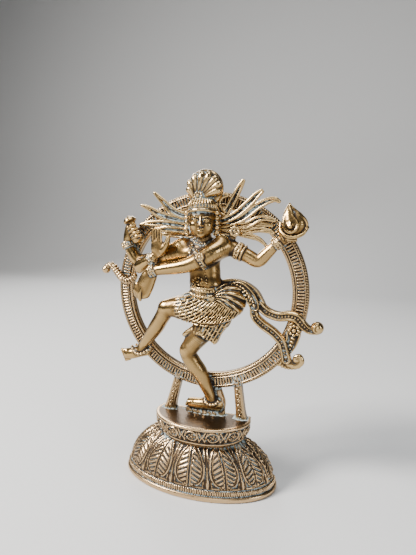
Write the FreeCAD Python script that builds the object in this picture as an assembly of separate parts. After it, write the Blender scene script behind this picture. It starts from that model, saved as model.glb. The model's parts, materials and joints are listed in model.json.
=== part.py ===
"""Brass nataraja statue: a dancing four-armed figure inside a halo ring on a lotus pedestal.

Frame: origin on the surface the pedestal stands on, midway between its ends and just in front
of its flat back. +Z is up, +X is to the right of somebody facing the figure, -Y is the front.
Every piece is one closed solid. A piece listed later is cut back by the pieces before it, so
neighbours meet face to face, and a peg fused to one piece leaves its own socket in the next.
"""
import FreeCAD, Part
import math
import os

from FreeCAD import Matrix, Vector

# Pedestal, millimetres
BASE_HALF_WIDTH = 32.4
BASE_HALF_DEPTH = 18.3
BASE_CENTRE_Y = 1.2
BACK_Y = 4.5
FOOT_FLANGE_TOP = 2.2
BEAD_BAND_TOP = 4.2
LOTUS_TOP = 20.0
BASE_WALL = 2.7
SPARE = 1.0
PLINTH_TOP = 27.7
PLINTH_CENTRE_X = 1.6
PLINTH_HALF_WIDTH = 20.8
PLINTH_FRONT_Y = -15.0
PLINTH_REAR_Y = 3.2
PAD_TOP = 29.2

# Halo ring
RING_CENTRE = Vector(2.4, 0.5, 77.9)
RING_OUTER = 39.2
RING_WIDTH = 6.2
RING_THICKNESS = 4.0
RING_BEVEL = 1.5

# Figure
STATUE_TOP = 125.0
HEAD_CENTRE = Vector(1.3, -6.2, 105.6)
HEAD_SEMI = Vector(5.5, 5.9, 6.8)
NECK_BASE = Vector(2.0, -4.6, 96.5)
HIP_CENTRE = Vector(6.5, -4.2, 73.8)
SHOULDER_LEFT = Vector(8.6, -4.8, 95.4)
SHOULDER_RIGHT = Vector(-7.2, -4.6, 94.6)
UPPER_ARM_R = 3.0
ELBOW_R = 2.7
WRIST_R = 1.8
PEG_R = 1.2
FRONT_LEFT = (SHOULDER_LEFT, Vector(-2.2, -11.6, 88.6), Vector(-16.4, -12.8, 86.4))
FRONT_RIGHT = (SHOULDER_RIGHT, Vector(-23.6, -6.2, 87.6), Vector(-16.0, -11.2, 91.4))
REAR_LEFT = (SHOULDER_LEFT + Vector(1.6, 1.6, 1.2), Vector(22.4, -3.4, 91.0), Vector(30.0, -3.4, 98.4))
REAR_RIGHT = (SHOULDER_RIGHT + Vector(-0.6, 1.8, 1.0), Vector(-27.2, -3.2, 88.8),
              Vector(-32.0, -3.6, 95.6))


def ball(centre, radius):
    return Part.makeSphere(radius, centre)


def rod(start, end, start_r, end_r):
    """Straight tapering round bar between two points."""
    along = end - start
    if abs(start_r - end_r) < 0.01:
        return Part.makeCylinder(start_r, along.Length, start, along)
    return Part.makeCone(start_r, end_r, along.Length, start, along)


def fuse(shapes):
    first, rest = shapes[0], shapes[1:]
    if not rest:
        return first
    return first.multiFuse(rest).removeSplitter()


def limb(stations, swell=1.03):
    """Bent round bar through (point, radius) stations, with a ball at every station."""
    pieces = [ball(point, radius * swell) for point, radius in stations]
    for (start, start_r), (end, end_r) in zip(stations, stations[1:]):
        pieces.append(rod(start, end, start_r, end_r))
    return fuse(pieces)


def scaled(shape, centre, factors):
    """Copy of a shape that was built about the origin, stretched and moved to a centre."""
    matrix = Matrix()
    matrix.scale(factors)
    stretched = shape.transformGeometry(matrix)
    stretched.translate(centre)
    return stretched


def ellipsoid(centre, semi):
    return scaled(Part.makeSphere(1.0), centre, semi)


def ellipse_wire(centre, half_x, half_y):
    """Level closed ellipse, whichever half-axis is the longer."""
    if half_x >= half_y:
        curve = Part.Ellipse(centre + Vector(half_x, 0, 0), centre + Vector(0, half_y, 0), centre)
    else:
        curve = Part.Ellipse(centre + Vector(0, half_y, 0), centre + Vector(-half_x, 0, 0), centre)
    return Part.Wire(curve.toShape())


def stack(sections):
    """Solid through level ellipses given as (centre, half width, half depth)."""
    return Part.makeLoft([ellipse_wire(*section) for section in sections], True, False)


def box_between(low, high):
    return Part.makeBox(high.x - low.x, high.y - low.y, high.z - low.z, low)


def half_outline(half_width, front_y, rear_y, centre_x, height, bluntness=2.4):
    """Closed wire: straight rear edge and a blunt bow-shaped front."""
    reach = rear_y - front_y
    points = []
    steps = 12
    for step in range(steps + 1):
        turn = math.pi * step / steps
        across = abs(math.cos(turn)) ** (2 / bluntness)
        forward = abs(math.sin(turn)) ** (2 / bluntness)
        side = 1 if math.cos(turn) > 0 else -1
        points.append(Vector(centre_x + side * half_width * across, rear_y - reach * forward, height))
    curve = Part.BSplineCurve()
    curve.interpolate(points)
    return Part.Wire([curve.toShape(), Part.makeLine(points[-1], points[0])])


def lotus_base():
    """Domed petal base, a squashed turned shape with its back sliced flat, hollow below."""
    reach = BASE_HALF_WIDTH
    profile = [
        Vector(0, 0, -SPARE),
        Vector(reach, 0, -SPARE),
        Vector(reach, 0, FOOT_FLANGE_TOP),
        Vector(reach - 0.9, 0, FOOT_FLANGE_TOP + 0.3),
        Vector(reach - 0.4, 0, FOOT_FLANGE_TOP + 0.9),
        Vector(reach - 0.4, 0, BEAD_BAND_TOP - 0.4),
        Vector(reach - 1.2, 0, BEAD_BAND_TOP),
    ]
    dome = [Vector(reach - 1.2, 0, BEAD_BAND_TOP), Vector(reach - 2.2, 0, 9.5), Vector(26.3, 0, 14.2),
            Vector(22.0, 0, 17.9), Vector(17.6, 0, LOTUS_TOP)]
    shoulder = Part.BSplineCurve()
    shoulder.interpolate(dome)
    edges = [Part.makeLine(a, b) for a, b in zip(profile, profile[1:])]
    edges.append(shoulder.toShape())
    edges.append(Part.makeLine(dome[-1], Vector(0, 0, LOTUS_TOP)))
    edges.append(Part.makeLine(Vector(0, 0, LOTUS_TOP), profile[0]))
    turned = Part.Face(Part.Wire(edges)).revolve(Vector(), Vector(0, 0, 1), 360)
    squash = Vector(1, BASE_HALF_DEPTH / BASE_HALF_WIDTH, 1)
    body = scaled(turned, Vector(0, BASE_CENTRE_Y, 0), squash)
    behind = box_between(Vector(-40, BACK_Y, -5), Vector(40, 40, 40))
    below = box_between(Vector(-40, -40, -5), Vector(40, 40, 0))
    return body.cut(behind).cut(below).cut(base_hollow())


def base_hollow():
    """Space under the pedestal, one wall in from the outside."""
    ceiling = LOTUS_TOP - 5.0
    low_reach = BASE_HALF_WIDTH - BASE_WALL - 0.8
    low_depth = BASE_HALF_DEPTH - BASE_WALL
    centre = Vector(0, BASE_CENTRE_Y, 0)
    space = Part.makeLoft([
        ellipse_wire(centre + Vector(0, 0, -SPARE), low_reach, low_depth),
        ellipse_wire(centre + Vector(0, 0, 9), low_reach - 2.0, low_depth - 1.4),
        ellipse_wire(centre + Vector(0, 0, ceiling), low_reach - 9.0, low_depth - 5.5),
    ], True, True)
    behind = box_between(Vector(-40, BACK_Y - BASE_WALL, -2), Vector(40, 40, 40))
    return space.cut(behind)


def plinth():
    """Boat-shaped block with a straight rear, a thin lip round its top and a peg below."""
    wide = PLINTH_HALF_WIDTH
    body = Part.makeLoft([
        half_outline(wide - 2.6, PLINTH_FRONT_Y + 2.0, PLINTH_REAR_Y, PLINTH_CENTRE_X, LOTUS_TOP),
        half_outline(wide - 0.5, PLINTH_FRONT_Y + 0.5, PLINTH_REAR_Y, PLINTH_CENTRE_X, PLINTH_TOP - 1.0),
    ], True, True)
    lip_wire = half_outline(wide, PLINTH_FRONT_Y, PLINTH_REAR_Y, PLINTH_CENTRE_X, PLINTH_TOP - 1.0)
    lip = Part.Face(lip_wire).extrude(Vector(0, 0, 1.0))
    peg_top = Vector(PLINTH_CENTRE_X, -4.0, LOTUS_TOP + 0.5)
    peg = rod(peg_top, Vector(PLINTH_CENTRE_X, -4.0, LOTUS_TOP - 3.0), 4.0, 4.0)
    return fuse([body, lip, peg])


def foot_pad():
    """Low pad under the standing foot, with a web behind it that reaches up to the ring."""
    centre = Vector(1.7, 0.9, PLINTH_TOP)
    pad = stack([(centre, 8.2, 2.3), (centre + Vector(0, 0, 1.0), 8.2, 2.3),
                 (centre + Vector(0, 0, PAD_TOP - PLINTH_TOP), 7.8, 2.1)])
    ring_bottom = RING_CENTRE.z - RING_OUTER
    heap_high = Vector(9.0, PLINTH_REAR_Y - 0.3, PAD_TOP + 2.6)
    heap = box_between(Vector(-5.6, 1.6, PLINTH_TOP), heap_high)
    web_high = Vector(8.8, RING_CENTRE.y + 1.8, ring_bottom + 1.0)
    web = box_between(Vector(3.4, 0.6, PLINTH_TOP + 0.5), web_high)
    peg = rod(centre + Vector(0, 0, 0.5), centre + Vector(0, 0, -2.5), PEG_R, PEG_R)
    return fuse([pad, heap, web, peg])


def post(foot_x, top_x, foot_half, top_half):
    """Tapering leaning bar from the plinth to the ring, with a square tenon at its foot."""
    sections = []
    ring_drop = RING_CENTRE.z - RING_OUTER
    for x, half, z in ((foot_x, foot_half, PLINTH_TOP), (top_x, top_half, ring_drop + 3.2)):
        front = RING_CENTRE.y - 1.9
        rear = RING_CENTRE.y + 1.7
        corners = [Vector(x - half, front, z), Vector(x + half, front, z),
                   Vector(x + half, rear, z), Vector(x - half, rear, z)]
        sections.append(Part.makePolygon(corners + corners[:1]))
    bar = Part.makeLoft(sections, True, True)
    tenon_low = Vector(foot_x - 1.2, RING_CENTRE.y - 1.0, PLINTH_TOP - 2.5)
    tenon = box_between(tenon_low, tenon_low + Vector(2.4, 2.0, 3.0))
    return fuse([bar, tenon])


def halo_ring():
    """Flat annulus with bevelled rims, standing on edge."""
    half = RING_THICKNESS / 2
    inner = RING_OUTER - RING_WIDTH
    step = RING_BEVEL * 0.55
    outline = [
        Vector(inner, half, 0),
        Vector(inner, -half + step, 0),
        Vector(inner + RING_BEVEL, -half, 0),
        Vector(RING_OUTER - RING_BEVEL, -half, 0),
        Vector(RING_OUTER, -half + step, 0),
        Vector(RING_OUTER, half, 0),
    ]
    section = Part.Face(Part.makePolygon(outline + outline[:1]))
    ring = section.revolve(Vector(), Vector(0, 1, 0), 360)
    ring.translate(RING_CENTRE)
    return ring


def torso():
    return stack([
        (Vector(3.1, -4.4, 79.5), 6.6, 5.2),
        (Vector(2.9, -4.4, 84.0), 6.2, 4.7),
        (Vector(1.9, -4.5, 88.0), 7.2, 5.0),
        (Vector(0.8, -4.5, 92.5), 9.0, 5.3),
        (Vector(1.0, -4.3, 96.0), 8.6, 4.6),
        (Vector(1.8, -4.5, 98.4), 4.6, 3.9),
        (Vector(2.0, -4.6, 99.6), 3.2, 3.2),
    ])


def head():
    skull = ellipsoid(HEAD_CENTRE, HEAD_SEMI)
    neck = rod(NECK_BASE, HEAD_CENTRE, 2.9, 3.0)
    return fuse([skull, neck])


def crown_band():
    """Close-fitting cap above the brow, which the head fills from below."""
    low = HEAD_CENTRE + Vector(0, 0.4, 4.0)
    middle = low + Vector(0, 0, 2.6)
    top = low + Vector(0, 0, 5.0)
    return stack([(low, 6.1, 6.3), (middle, 6.0, 6.2), (top, 4.2, 4.4)])


def topknot():
    """Upright fan of hair loops, flattened from front to back."""
    half_height = 6.9
    fan = ellipsoid(Vector(1.8, -4.9, STATUE_TOP - half_height), Vector(7.6, 3.6, half_height))
    boss = ball(Vector(0.6, -8.6, 114.6), 2.2)
    return fuse([fan, boss])


def lock(root, bend, tip, root_r=1.7, tip_r=0.9):
    """One swept-out strand of hair."""
    return limb([(root, root_r), (bend, (root_r + tip_r) / 2), (tip, tip_r)])


def hair_locks_left():
    nape = limb([(Vector(-4.2, -3.2, 100.6), 2.2), (Vector(-4.6, -3.2, 108.6), 2.2)])
    strands = [
        lock(Vector(-4.4, -3.4, 107.6), Vector(-12.0, -3.2, 110.0), Vector(-19.4, -3.0, 116.0)),
        lock(Vector(-4.4, -3.4, 105.0), Vector(-15.0, -3.2, 106.4), Vector(-25.4, -3.0, 111.3)),
        lock(Vector(-4.4, -3.4, 102.4), Vector(-15.0, -3.2, 102.8), Vector(-26.4, -3.0, 103.8)),
    ]
    return fuse([nape] + strands)


def hair_locks_right():
    nape = limb([(Vector(7.4, -3.2, 101.0), 2.2), (Vector(7.6, -3.2, 109.0), 2.2)])
    strands = [
        lock(Vector(8.0, -3.4, 108.4), Vector(12.8, -3.2, 113.4), Vector(16.6, -3.0, 120.2)),
        lock(Vector(8.0, -3.4, 107.0), Vector(16.4, -3.2, 110.6), Vector(24.0, -3.0, 116.6)),
        lock(Vector(8.0, -3.4, 105.4), Vector(19.0, -3.2, 109.4), Vector(30.0, -3.0, 112.4)),
        lock(Vector(8.0, -3.4, 104.0), Vector(18.6, -3.2, 106.2), Vector(28.4, -3.0, 106.4)),
        lock(Vector(8.0, -3.4, 102.8), Vector(17.4, -3.2, 103.6), Vector(27.0, -3.0, 102.4)),
        lock(Vector(8.0, -3.4, 101.6), Vector(16.0, -3.2, 101.0), Vector(23.4, -3.0, 96.9)),
    ]
    return fuse([nape] + strands)


def earring(centre):
    return Part.makeTorus(1.3, 0.6, centre, Vector(0, 1, 0))


def necklace():
    """Beaded collar round the base of the neck with a strip hanging on the chest."""
    collar = scaled(Part.makeTorus(5.0, 1.1), Vector(1.9, -4.9, 97.4), Vector(1, 0.95, 1))
    strip = rod(Vector(-1.2, -8.9, 97.0), Vector(-2.2, -9.4, 91.0), 0.9, 0.9)
    return fuse([collar, strip])


def belt():
    low = Vector(3.1, -4.5, 79.3)
    middle = low + Vector(0, 0, 1.3)
    top = low + Vector(0, 0, 2.8)
    return stack([(low, 7.6, 6.1), (middle, 7.8, 6.3), (top, 7.3, 5.8)])


def standing_leg():
    """Bent supporting leg, foot pointing left, pegged into the pad and up into the hips."""
    ankle = Vector(4.7, -0.9, 34.6)
    leg = limb([(Vector(6.0, -4.0, 69.0), 4.8), (Vector(-3.4, -5.2, 54.8), 3.7),
                (Vector(0.4, -4.0, 47.6), 3.4), (ankle, 2.4)])
    foot = limb([(Vector(6.0, 0.2, 31.2), 2.2), (Vector(1.0, -0.2, 30.8), 2.0),
                 (Vector(-3.2, -0.4, 30.2), 1.5)])
    below = box_between(Vector(-12, -12, 20), Vector(20, 10, PAD_TOP))
    peg = rod(Vector(4.2, 0.4, PAD_TOP + 0.6), Vector(4.2, 0.4, PAD_TOP - 1.2), PEG_R, PEG_R)
    return fuse([fuse([leg, foot]).cut(below), peg])


def raised_leg():
    """Leg lifted across the body, its foot resting against the front of the ring."""
    leg = limb([(Vector(1.0, -5.4, 72.2), 4.9), (Vector(-10.8, -9.2, 71.4), 3.5),
                (Vector(-17.2, -7.4, 62.6), 2.8), (Vector(-23.4, -5.2, 55.0), 2.3)])
    foot = limb([(Vector(-22.0, -5.0, 52.4), 2.0), (Vector(-28.0, -5.0, 50.9), 2.1),
                 (Vector(-31.4, -5.0, 49.4), 1.8)])
    return fuse([leg, foot])


def anklet(centre, along, radius):
    return Part.makeTorus(radius, 1.0, centre, along)


def skirt_upper():
    """Wrap over the hips with a sleeve over the raised thigh."""
    hips = ellipsoid(HIP_CENTRE, Vector(11.4, 6.4, 7.6))
    sleeve = limb([(Vector(1.6, -5.8, 73.2), 6.4), (Vector(-3.6, -7.4, 71.6), 5.5)])
    return fuse([hips, sleeve])


def skirt_lower():
    """Short flared leg of the wrap over the standing thigh."""
    return rod(Vector(6.4, -4.4, 70.0), Vector(0.6, -5.0, 59.6), 7.0, 5.8)


def sash_loop():
    """Beaded band that leaves the hip, arches over and drops to a round end."""
    return limb([(Vector(9.6, -4.2, 82.0), 2.0), (Vector(15.4, -4.2, 82.2), 2.4),
                 (Vector(20.2, -4.2, 79.2), 2.6), (Vector(23.0, -4.0, 73.8), 2.6)])


def sash_upper_tail():
    knob = Vector(45.0, -3.6, 67.6)
    ribbon = limb([(Vector(23.4, -3.6, 75.4), 1.8), (Vector(27.4, -3.6, 71.9), 1.8),
                   (Vector(32.2, -3.4, 70.4), 1.9), (Vector(37.2, -3.2, 70.6), 2.0),
                   (Vector(41.2, -3.4, 67.8), 1.8), (knob, 1.6)])
    return fuse([ribbon, ball(knob, 2.5)])


def sash_lower_tail():
    curl = Vector(38.8, -3.6, 55.2)
    ribbon = limb([(Vector(21.6, -3.6, 72.4), 1.6), (Vector(24.8, -3.6, 67.6), 1.6),
                   (Vector(29.4, -3.4, 63.6), 1.6), (Vector(33.0, -3.2, 60.0), 1.6),
                   (Vector(35.2, -3.2, 53.8), 2.3), (curl, 1.6)])
    return fuse([ribbon, ball(curl, 2.4)])


def sash_clasp():
    """Flower boss and leaf that tie the two sash tails to the ring."""
    boss = ball(Vector(37.2, -3.2, 66.2), 2.6)
    leaf = limb([(Vector(37.4, -2.6, 64.0), 2.0), (Vector(36.4, -2.6, 58.6), 1.5)])
    return fuse([boss, leaf])


def ring_serpent():
    """Scaly band that crosses the ring and curls up to a ball end outside it."""
    return limb([(Vector(-41.9, -2.8, 84.6), 1.6), (Vector(-40.0, -2.8, 86.4), 1.4),
                 (Vector(-37.4, -3.0, 85.2), 1.5), (Vector(-34.8, -3.0, 82.4), 1.6),
                 (Vector(-31.6, -3.2, 81.0), 1.6), (Vector(-28.6, -3.2, 82.8), 1.5)])


def fingers(knuckles, tips, radius):
    """Tapering fingers side by side from one line of knuckles to one line of tips."""
    count = 4
    bars = []
    for index in range(count):
        share = index / (count - 1)
        start = knuckles[0] + (knuckles[1] - knuckles[0]) * share
        end = tips[0] + (tips[1] - tips[0]) * share
        bars.append(limb([(start, radius), (end, radius * 0.75)]))
    return bars


def front_left_arm():
    """Arm carried across the chest with its hand hanging over the raised leg."""
    shoulder, elbow, wrist = FRONT_LEFT
    arm = limb([(shoulder, UPPER_ARM_R + 0.8), (elbow, ELBOW_R), (wrist, WRIST_R)])
    palm = limb([(wrist, WRIST_R), (Vector(-19.4, -12.6, 81.6), 2.3)])
    hand = fingers((Vector(-21.0, -12.6, 81.0), Vector(-17.8, -12.6, 80.4)),
                   (Vector(-23.0, -12.0, 74.4), Vector(-20.2, -12.0, 74.8)), 0.95)
    thumb = limb([(Vector(-17.8, -12.8, 82.0), 1.0), (Vector(-17.4, -12.4, 77.2), 0.8)])
    return fuse([arm, palm, thumb] + hand)


def front_right_arm():
    """Arm bent forwards with an open palm raised towards the viewer."""
    shoulder, elbow, wrist = FRONT_RIGHT
    arm = limb([(shoulder, UPPER_ARM_R + 0.4), (elbow, ELBOW_R), (wrist, WRIST_R)])
    palm = stack([(wrist + Vector(0, 0, 0.6), 1.9, 1.3), (wrist + Vector(0.4, 0, 3.4), 3.0, 1.4),
                  (wrist + Vector(0.2, 0, 5.8), 2.7, 1.2)])
    hand = fingers((Vector(-17.8, -11.2, 96.6), Vector(-14.2, -11.2, 96.8)),
                   (Vector(-16.8, -11.2, 101.4), Vector(-14.4, -11.2, 101.4)), 0.8)
    thumb = limb([(Vector(-13.4, -11.2, 94.4), 0.95), (Vector(-11.6, -11.2, 98.2), 0.75)])
    return fuse([arm, palm, thumb] + hand)


def rear_left_arm():
    """Arm held out to the viewer's right, ending under the flame bowl."""
    shoulder, elbow, wrist = REAR_LEFT
    palm = Vector(33.4, -3.4, 100.6)
    return limb([(shoulder, UPPER_ARM_R), (elbow, ELBOW_R), (wrist, WRIST_R), (palm, 2.0)])


def rear_right_arm():
    """Arm held out to the viewer's left with a closed fist round the drum's waist."""
    shoulder, elbow, wrist = REAR_RIGHT
    fist = Vector(-29.6, -3.8, 100.4)
    return limb([(shoulder, UPPER_ARM_R), (elbow, ELBOW_R), (wrist, WRIST_R), (fist, 2.8)])


def hand_drum():
    """Hourglass drum, its waist inside the fist."""
    top = Vector(-30.6, -3.6, 105.8)
    bottom = Vector(-26.4, -3.6, 96.6)
    waist = (top + bottom) * 0.5
    return fuse([rod(top, waist, 2.5, 1.2), rod(waist, bottom, 1.2, 2.4)])


def flame_bowl():
    """Onion-shaped flame standing in a shallow bowl."""
    centre = Vector(35.4, -3.4, 104.6)
    body = ellipsoid(centre, Vector(5.4, 3.6, 5.0))
    tip = rod(centre + Vector(-0.8, 0, 3.0), Vector(33.8, -3.4, 112.4), 2.8, 0.4)
    lobe = ellipsoid(centre + Vector(1.6, 0, 1.6), Vector(3.4, 2.8, 4.6))
    return fuse([body, tip, lobe])


def cuff(start, end, share, radius, width):
    """Band round a limb at a share of the way between two of its joints."""
    along = end - start
    centre = start + along * share
    along.normalize()
    return Part.makeCylinder(radius, width, centre - along * (width / 2), along)


def shoulder_knob():
    return fuse([ball(Vector(13.6, -4.4, 101.6), 2.1), ball(Vector(12.0, -4.2, 99.6), 1.5)])


PIECES = [
    ("halo_ring", halo_ring()),
    ("ring_post_left", post(-13.2, -9.2, 2.1, 1.7)),
    ("ring_post_right", post(17.4, 15.3, 1.8, 1.5)),
    ("foot_pad", foot_pad()),
    ("plinth", plinth()),
    ("lotus_base", lotus_base()),
    ("standing_leg", standing_leg()),
    ("raised_leg", raised_leg()),
    ("head", head()),
    ("torso", torso()),
    ("front_left_arm", front_left_arm()),
    ("front_right_arm", front_right_arm()),
    ("rear_left_arm", rear_left_arm()),
    ("rear_right_arm", rear_right_arm()),
    ("belt", belt()),
    ("skirt_upper", skirt_upper()),
    ("skirt_lower", skirt_lower()),
    ("crown_band", crown_band()),
    ("topknot", topknot()),
    ("hair_locks_left", hair_locks_left()),
    ("hair_locks_right", hair_locks_right()),
    ("earring_left", earring(Vector(7.6, -6.4, 101.6))),
    ("earring_right", earring(Vector(-4.8, -7.0, 101.0))),
    ("necklace", necklace()),
    ("shoulder_knob", shoulder_knob()),
    ("hand_drum", hand_drum()),
    ("flame_bowl", flame_bowl()),
    ("sash_loop", sash_loop()),
    ("sash_upper_tail", sash_upper_tail()),
    ("sash_lower_tail", sash_lower_tail()),
    ("sash_clasp", sash_clasp()),
    ("ring_serpent", ring_serpent()),
    ("standing_anklet", anklet(Vector(5.0, -0.6, 33.4), Vector(0.1, -0.15, 1), 2.5)),
    ("raised_anklet", anklet(Vector(-23.6, -5.2, 54.8), Vector(0.35, 0.2, 1), 2.5)),
    ("front_left_armlet", cuff(FRONT_LEFT[0], FRONT_LEFT[1], 0.55, 3.9, 1.8)),
    ("front_left_bracelet", cuff(FRONT_LEFT[1], FRONT_LEFT[2], 0.93, 2.6, 1.8)),
    ("front_right_bracelet", cuff(FRONT_RIGHT[1], FRONT_RIGHT[2], 0.78, 2.9, 1.9)),
    ("rear_left_armlet", cuff(REAR_LEFT[0], REAR_LEFT[1], 0.5, 3.7, 2.6)),
    ("rear_left_bracelet", cuff(REAR_LEFT[1], REAR_LEFT[2], 0.9, 2.8, 1.8)),
    ("rear_right_bracelet", cuff(REAR_RIGHT[1], REAR_RIGHT[2], 0.85, 2.8, 2.2)),
]


def cut_back(shape, earlier):
    """The shape less every earlier piece whose box meets its box."""
    blockers = [other for other in earlier if shape.BoundBox.intersect(other.BoundBox)]
    if not blockers:
        return shape
    return shape.cut(blockers)


def solids_worth_keeping(shape):
    """Drop crumbs that a cut leaves behind, and return one shape."""
    whole = sorted(shape.Solids, key=lambda solid: solid.Volume, reverse=True)
    kept = [solid for solid in whole if solid.Volume > 0.2 * whole[0].Volume]
    return kept[0] if len(kept) == 1 else Part.makeCompound(kept)


def main():
    os.makedirs("parts", exist_ok=True)
    finished = []
    for name, raw in PIECES:
        piece = solids_worth_keeping(cut_back(raw, finished))
        finished.append(piece)
        piece.exportStep("parts/" + name + ".step")
        print("%-22s volume %8.1f mm3  valid %s" % (name, piece.Volume, piece.isValid()))


main()
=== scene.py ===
"""Looks for the brass nataraja statue: cast relief, aged brass, pale floor, studio light, camera.

Every form is a distance function in millimetres in the frame's own axes. The forms are blended
into a cast surface, meshed in three groups, and shared out between the frame's nodes. A form's
stations are measured from the middle of its node's box, so that they follow the frame.
"""
import json
import math
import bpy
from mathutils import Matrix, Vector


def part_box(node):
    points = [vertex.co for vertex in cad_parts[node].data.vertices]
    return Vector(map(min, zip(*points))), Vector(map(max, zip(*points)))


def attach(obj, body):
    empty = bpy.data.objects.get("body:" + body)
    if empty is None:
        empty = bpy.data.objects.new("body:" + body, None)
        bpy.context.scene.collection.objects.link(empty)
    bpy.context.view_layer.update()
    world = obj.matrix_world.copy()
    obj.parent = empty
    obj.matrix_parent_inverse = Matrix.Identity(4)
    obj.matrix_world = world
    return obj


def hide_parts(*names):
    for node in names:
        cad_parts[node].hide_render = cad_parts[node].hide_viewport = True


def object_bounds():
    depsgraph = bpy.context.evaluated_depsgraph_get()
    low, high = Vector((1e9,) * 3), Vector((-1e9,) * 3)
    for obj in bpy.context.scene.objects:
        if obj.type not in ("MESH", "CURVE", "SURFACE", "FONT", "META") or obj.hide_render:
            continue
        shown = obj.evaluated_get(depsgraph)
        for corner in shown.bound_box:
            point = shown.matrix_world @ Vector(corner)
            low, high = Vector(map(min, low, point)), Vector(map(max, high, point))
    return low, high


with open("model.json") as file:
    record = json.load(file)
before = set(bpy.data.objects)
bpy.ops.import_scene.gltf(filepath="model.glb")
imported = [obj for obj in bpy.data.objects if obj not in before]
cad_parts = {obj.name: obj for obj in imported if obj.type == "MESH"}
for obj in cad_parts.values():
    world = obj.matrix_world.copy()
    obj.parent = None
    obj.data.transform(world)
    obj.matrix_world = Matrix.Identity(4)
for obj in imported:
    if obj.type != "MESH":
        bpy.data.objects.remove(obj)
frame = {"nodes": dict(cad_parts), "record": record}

from concurrent.futures import ThreadPoolExecutor

import bpy
import numpy as np
import openvdb
from mathutils import Matrix, Vector

CAD_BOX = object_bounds()
MM = 0.001
COARSE = 1.0
REACH = 2.2
JOINT_REACH = 2.0
CELL = 4.8
GROUPS = {
    "pedestal": (0.27, ("lotus_base", "plinth")),
    "head": (0.16, ("head", "crown_band", "topknot", "earring_left", "earring_right")),
}
REST_VOXEL = 0.22

NAMES = sorted(frame["nodes"])
ORIGIN = np.zeros(3, dtype=np.float32)
# middle of each node's box, in mm and to the nearest half: a node's stations are measured from it
MIDDLE = {name: (np.round(np.mean(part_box(name), axis=0) / MM * 2) / 2).astype(np.float32) for name in NAMES}

forms = []


# ---------------------------------------------------------------- engine

class Form:
    """One shape: its distance function, its box, the node it belongs to and how it blends."""

    def __init__(self, owner, distance, low, high, blend=0.4, cut=False):
        self.owner = owner
        self.distance = distance
        self.low = np.array(low, dtype=np.float32)
        self.high = np.array(high, dtype=np.float32)
        self.blend = blend
        self.cut = cut


def add(owner, distance, low, high, blend=0.4, cut=False):
    forms.append(Form(owner, distance, low, high, blend, cut))


def soft_min(a, b, blend):
    if blend <= 0:
        return np.minimum(a, b)
    share = np.clip(0.5 + 0.5 * (b - a) / blend, 0, 1)
    return b + (a - b) * share - blend * share * (1 - share)


def near_forms(low, high, pool, lows, highs):
    hit = np.all(lows - REACH < high, axis=1) & np.all(highs + REACH > low, axis=1)
    return [pool[i] for i in np.flatnonzero(hit)]


def field(points, chosen):
    """Signed distance from points to the cast surface made of the chosen forms."""
    result = np.full(len(points), REACH, dtype=np.float32)
    for form in chosen:
        own = form.distance(points)
        if form.cut:
            result = -soft_min(-result, own, form.blend)
        else:
            result = soft_min(result, own, form.blend)
    return result


def nearest_owner(points, chosen):
    """Index in NAMES of the node nearest to each point, plus how near the next node is."""
    nearest = {}
    for form in chosen:
        if form.cut:
            continue
        own = form.distance(points)
        if form.owner in nearest:
            own = np.minimum(nearest[form.owner], own)
        nearest[form.owner] = own
    if not nearest:
        return np.full(len(points), -1, dtype=np.float32)
    owners = np.array([NAMES.index(name) for name in nearest])
    table = np.array(list(nearest.values()))
    first = table.argmin(axis=0)
    gap = np.full(len(points), JOINT_REACH)
    if len(owners) > 1:
        gap = np.clip(np.partition(table, 1, axis=0)[1], 0, JOINT_REACH)
    return owners[first] + 0.9 * gap / JOINT_REACH


def in_cells(points, work, pool):
    """Run work(points, forms) on groups of neighbouring points and collect the answers."""
    answer = np.zeros(len(points), dtype=np.float32)
    cells = np.floor(points / CELL).astype(np.int64)
    keys = (cells[:, 0] * 1000 + cells[:, 1]) * 1000 + cells[:, 2]
    order = np.argsort(keys, kind="stable")
    starts = np.flatnonzero(np.diff(keys[order])) + 1
    groups = np.split(order, starts)
    lows = np.array([form.low for form in pool])
    highs = np.array([form.high for form in pool])

    def one(group):
        block = points[group]
        return work(block, near_forms(block.min(axis=0), block.max(axis=0), pool, lows, highs))

    with ThreadPoolExecutor(4) as workers:
        for group, values in zip(groups, workers.map(one, groups)):
            answer[group] = values
    return answer


def mesh_surface(voxel, pool):
    """Points and quads of the zero surface of a pool of forms."""
    low = np.min([form.low for form in pool], axis=0) - 3 * voxel
    high = np.max([form.high for form in pool], axis=0) + 3 * voxel
    side = 8
    blocks = np.ceil((high - low) / (voxel * side)).astype(int)
    grid = np.indices(blocks).reshape(3, -1).T
    centres = (low + (grid * side + (side - 1) / 2) * voxel).astype(np.float32)
    middle = in_cells(centres, field, pool)
    band = np.float32(2.5 * voxel)
    values = np.where(middle > 0, band, -band).astype(np.float32)
    volume = np.repeat(np.repeat(np.repeat(values.reshape(blocks), side, 0), side, 1), side, 2)
    active = grid[np.abs(middle) < 0.87 * side * voxel + 1.5 * voxel]
    inner = np.indices((side, side, side)).reshape(3, -1).T
    for start in range(0, len(active), 6000):
        some = active[start:start + 6000]
        index = (some[:, None, :] * side + inner[None, :, :]).reshape(-1, 3)
        points = (low + index * voxel).astype(np.float32)
        values = np.clip(in_cells(points, field, pool), -band, band)
        volume[index[:, 0], index[:, 1], index[:, 2]] = values
    vdb_grid = openvdb.FloatGrid(float(band))
    vdb_grid.copyFromArray(volume, tolerance=0.0)
    points, quads = vdb_grid.convertToQuads(isovalue=0.0)
    return (points * voxel + low).astype(np.float32), quads.astype(np.int64)


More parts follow.
